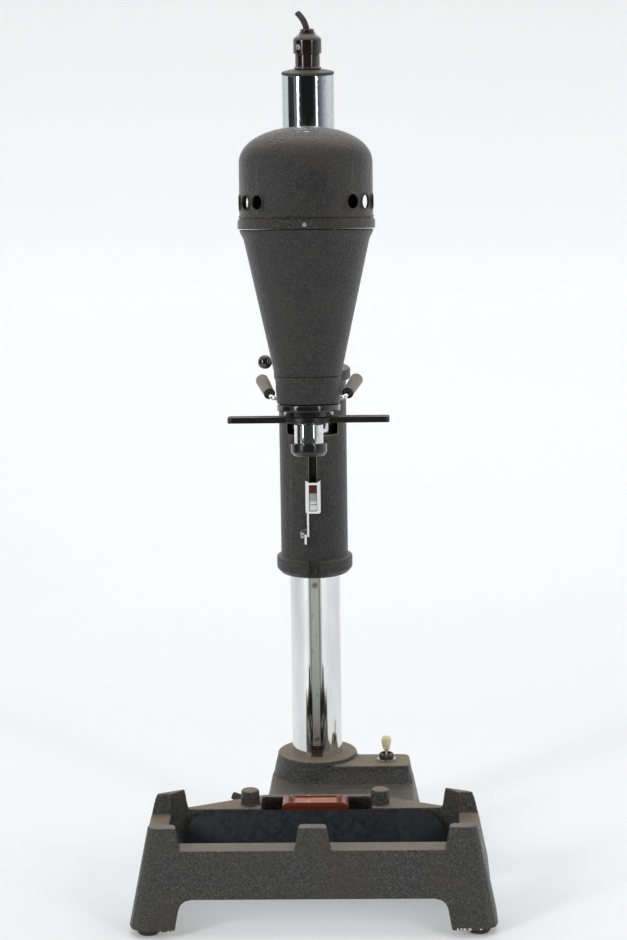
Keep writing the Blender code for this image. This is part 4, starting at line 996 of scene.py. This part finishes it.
def dome():
    """The spun dome: superelliptic crown, cylinder, two beads and a rim ring, with vents at its sides."""
    top, bottom = DOME_HIGH.z, DOME_LOW.z
    rim = (DOME_HIGH.x - DOME_LOW.x) / 2
    radius, spring, power, shell = rim - 0.0015, top - 0.0271, 2.15, 0.0014
    crown, lining = [], []
    for step in range(41):
        turn = math.pi / 2 * step / 40
        across = math.sin(turn) ** (2 / power)
        up = max(math.cos(turn), 0.0) ** (2 / power)
        crown.append((radius * across, spring + (top - spring) * up, 0.0))
        lining.append(((radius - shell) * across, spring + (top - spring - shell) * up, 0.0))
    foot = [(radius, bottom + 0.01, 0.0), (radius + 0.0007, bottom + 0.0094, 0.0003),
            (radius + 0.0007, bottom + 0.0084, 0.0003), (radius + 0.0001, bottom + 0.0078, 0.0002),
            (radius + 0.0006, bottom + 0.0071, 0.0003), (rim - 0.0003, bottom + 0.0066, 0.0004),
            (rim, bottom + 0.0058, 0.0006), (rim, bottom, 0.0004), (radius - 0.0004, bottom, 0.0),
            (radius - 0.0004, bottom + 0.007, 0.0), (radius - shell, bottom + 0.0095, 0.0)]
    outline = crown + foot + lining[::-1]
    spun_shell = lathe("spun_dome", outline, ON_AXIS, "dome", 192, 0.0, closed=False, sharp=50.0)
    middle, vent_r = Vector((0.0, AXIS_Y, top - 0.0555)), 0.0054
    beads, vents = bmesh.new(), bmesh.new()
    for number in range(10):
        angle = math.radians(45 + 18 * (number // 2)) * (1 if number % 2 else -1)
        outward = Vector((math.sin(angle), -math.cos(angle), 0.0))
        aside = Vector((math.cos(angle), math.sin(angle), 0.0))
        drill(vent_r, middle + outward * (radius - 0.006), middle + outward * (radius + 0.006), 40, vents)
        loop = []
        for turn in turns(40):
            a, b = (vent_r + 0.0003) * math.cos(turn), (vent_r + 0.0003) * math.sin(turn)
            out = math.sqrt(radius * radius - a * a) + 0.00005
            loop.append(middle + outward * out + aside * a + Vector((0, 0, b)))
        ring_tube(beads, loop, 0.0005, 8)
    carve(spun_shell, vents, sharp=50.0)
    attach(lean(spun_shell), "lamphouse", "hammertone", "lamphouse_dome")
    attach(lean(new_object("vent_rims", beads, "vent_rim", 80.0)), "lamphouse", "hammertone")
    for number in (1, 2, 3):
        node = f"dome_screw_{number}"
        spot = measured(node, upright)[2]
        outward = Vector((spot.x, spot.y - AXIS_Y, 0.0)).normalized()
        place = spot - outward * 0.00045
        head = slotted_head(f"{node}_turned", place, outward, 0.0015, 0.0006, "strip", 35.0 * number)
        attach(lean(head), "lamphouse", "steel", node)


def grips():
    """The bent bar on a smooth curve, and a tapered grip with a dark mouth on each end."""
    bow = 0.0188
    arc = [math.pi / 2 * step / 24 for step in range(25)]
    points = [(bow * math.sin(angle), AXIS_Y - bow * math.cos(angle), AXLE_Z) for angle in arc]
    places = [(bow, 0.0, 0.0), (0.024, 0.0, 0.0), (0.0266, 0.0012, 0.0005), (0.028, 0.004, 0.0014),
              (0.029, 0.0078, 0.0027)]
    side = smooth_path([(x, AXIS_Y + y, AXLE_Z + z) for x, y, z in places], 33)
    right = points[1:] + side[1:]
    left = [(-x, y, z) for x, y, z in right[::-1]]
    bar = tube_curve("bent_bar", left + points[:1] + right, 0.00165, "chrome")
    attach(lean(bar), "yoke", "chrome", "lift_yoke")
    taper = [(0.0, 0.03), (0.003, 0.0299, 0.001), (0.0049, 0.028, 0.003), (0.0048, 0.0262, 0.003),
             (0.0041, 0.0002, 0.0004), (0.0031, 0.0, 0.0002), (0.0031, 0.001), (0.0, 0.001)]
    mouth = [(0.0043, 0.0012), (0.0043, -0.00025), (0.0031, -0.00025), (0.0031, 0.0012)]
    for sign, word in SIDES:
        direction = Vector((sign * 0.007, 0.0276, 0.0093)).normalized()
        small = Vector((sign * 0.029, AXIS_Y + 0.0078, AXLE_Z + 0.0027)) + direction * 0.00045
        place = LEAN @ Matrix.Translation(small) @ direction.to_track_quat("Z", "Y").to_matrix().to_4x4()
        grip = lathe(f"tapered_grip_{word}", taper, Vector(), "grip", 80, 0.0004, closed=False)
        grip.data.transform(place)
        attach(grip, "yoke", "grey_handle", f"lift_grip_{word}")
        collar = lathe(f"grip_mouth_{word}", mouth, Vector(), "dark_steel", 64, 0.0002)
        collar.data.transform(place)
        attach(collar, "yoke", "steel")


# Floor and light

def studio():
    """White table and backdrop in soft light; the room behind the camera is dark."""
    bpy.context.scene.view_settings.view_transform = "Standard"
    floor = plain("floor", sweep())
    floor.data.shade_smooth()
    shader = Shader("paper_floor")
    paper = shader.mix(shader.noise(3.0), (0.8, 0.8, 0.81), (0.83, 0.83, 0.835))
    # Painted light: the floor and backdrop glow, more strongly towards the back, standing in for light
    # falling on them.
    backdrop_glow = shader.ramp(shader.along("Y"), 0.4, 3.8, 0.155, 0.47, smooth=False)
    glow = {"Emission Color": (1.0, 1.0, 1.0), "Emission Strength": backdrop_glow}
    floor.data.materials.append(shader.finish(paper, 0.6, extra=glow))
    room()
    dark_card((-1.05, -0.45, 0.01), (-1.03, 0.2, 0.8))
    softbox("key", (-1.45, -1.4, 1.15), (0.0, 0.0, 0.5), 0.34, 0.9, 14.0)
    softbox("fill", (1.3, -1.4, 1.15), (0.0, 0.0, 0.5), 0.3, 0.9, 7.0)
    softbox("sheen_left", (-1.45, -1.4, 0.85), (0.0, 0.0, 0.45), 0.26, 1.1, 5.0, sheen=True)
    softbox("sheen_right", (1.25, -1.45, 0.85), (0.0, 0.0, 0.45), 0.22, 1.1, 2.4, sheen=True)
    softbox("top", (0.1, 0.1, 2.3), (0.0, 0.1, 0.0), 1.6, 1.6, 3.2)
    softbox("back", (0.0, 1.7, 1.9), (0.0, 0.6, 0.1), 2.2, 1.0, 8.0)


def dark_card(low, high):
    """Stands out of sight at the left and darkens that side of the chrome."""
    card = plain("dark_card", block(low, high, 0.0))
    shader = Shader("card_black")
    card.data.materials.append(shader.finish((0.03, 0.03, 0.03), 0.8))
    card.visible_camera = False


def room():
    """A pale world all round, darker towards the front; what the camera sees of it is white."""
    world = bpy.data.worlds.new("world")
    bpy.context.scene.world = world
    world.use_nodes = True
    nodes = Nodes(world.node_tree, "Generated")
    pale = nodes.ramp(nodes.along("Y"), -0.85, 0.25, 0.05, 1.0)
    seen = nodes.node("LightPath").outputs["Is Camera Ray"]
    background = nodes.tree.nodes["Background"]
    nodes.feed(background.inputs["Color"], (0.975, 0.985, 1.0))
    strength = nodes.node("Mix", {"Factor": seen, "A": pale, "B": 0.95})
    nodes.feed(background.inputs["Strength"], strength.outputs[0])


def sweep():
    """A floor that curves up behind into a backdrop."""
    bm = bmesh.new()
    line = [(-1.9, 0.0), (-0.5, 0.0), (0.5, 0.0), (3.0, 0.0)]
    for step in range(1, 13):
        angle = math.pi / 2 * step / 12
        line.append((3.0 + 1.5 * math.sin(angle), 1.5 - 1.5 * math.cos(angle)))
    line.append((4.5, 6.0))
    rows = [[bm.verts.new((x, y, z)) for x in (-5.0, -1.0, 1.0, 5.0)] for y, z in line]
    for first, second in zip(rows, rows[1:]):
        for step in range(3):
            bm.faces.new((first[step], first[step + 1], second[step + 1], second[step]))
    return bm


def softbox(name, place, target, width, height, power, sheen=False):
    """A rectangular lamp; one that is only sheen puts highlights on gloss and no light on the matt."""
    data = bpy.data.lights.new(name, "AREA")
    data.shape = "RECTANGLE"
    data.size, data.size_y = width, height
    data.energy = power
    light = linked(name, data)
    light.location = place
    light.rotation_euler = (Vector(target) - Vector(place)).to_track_quat("-Z", "Y").to_euler()
    light.visible_diffuse = not sheen


cord_stub()
base()
column()
connector()
carriage()
clamp()
index_window()
stage_and_lens()
lamphouse()
studio()
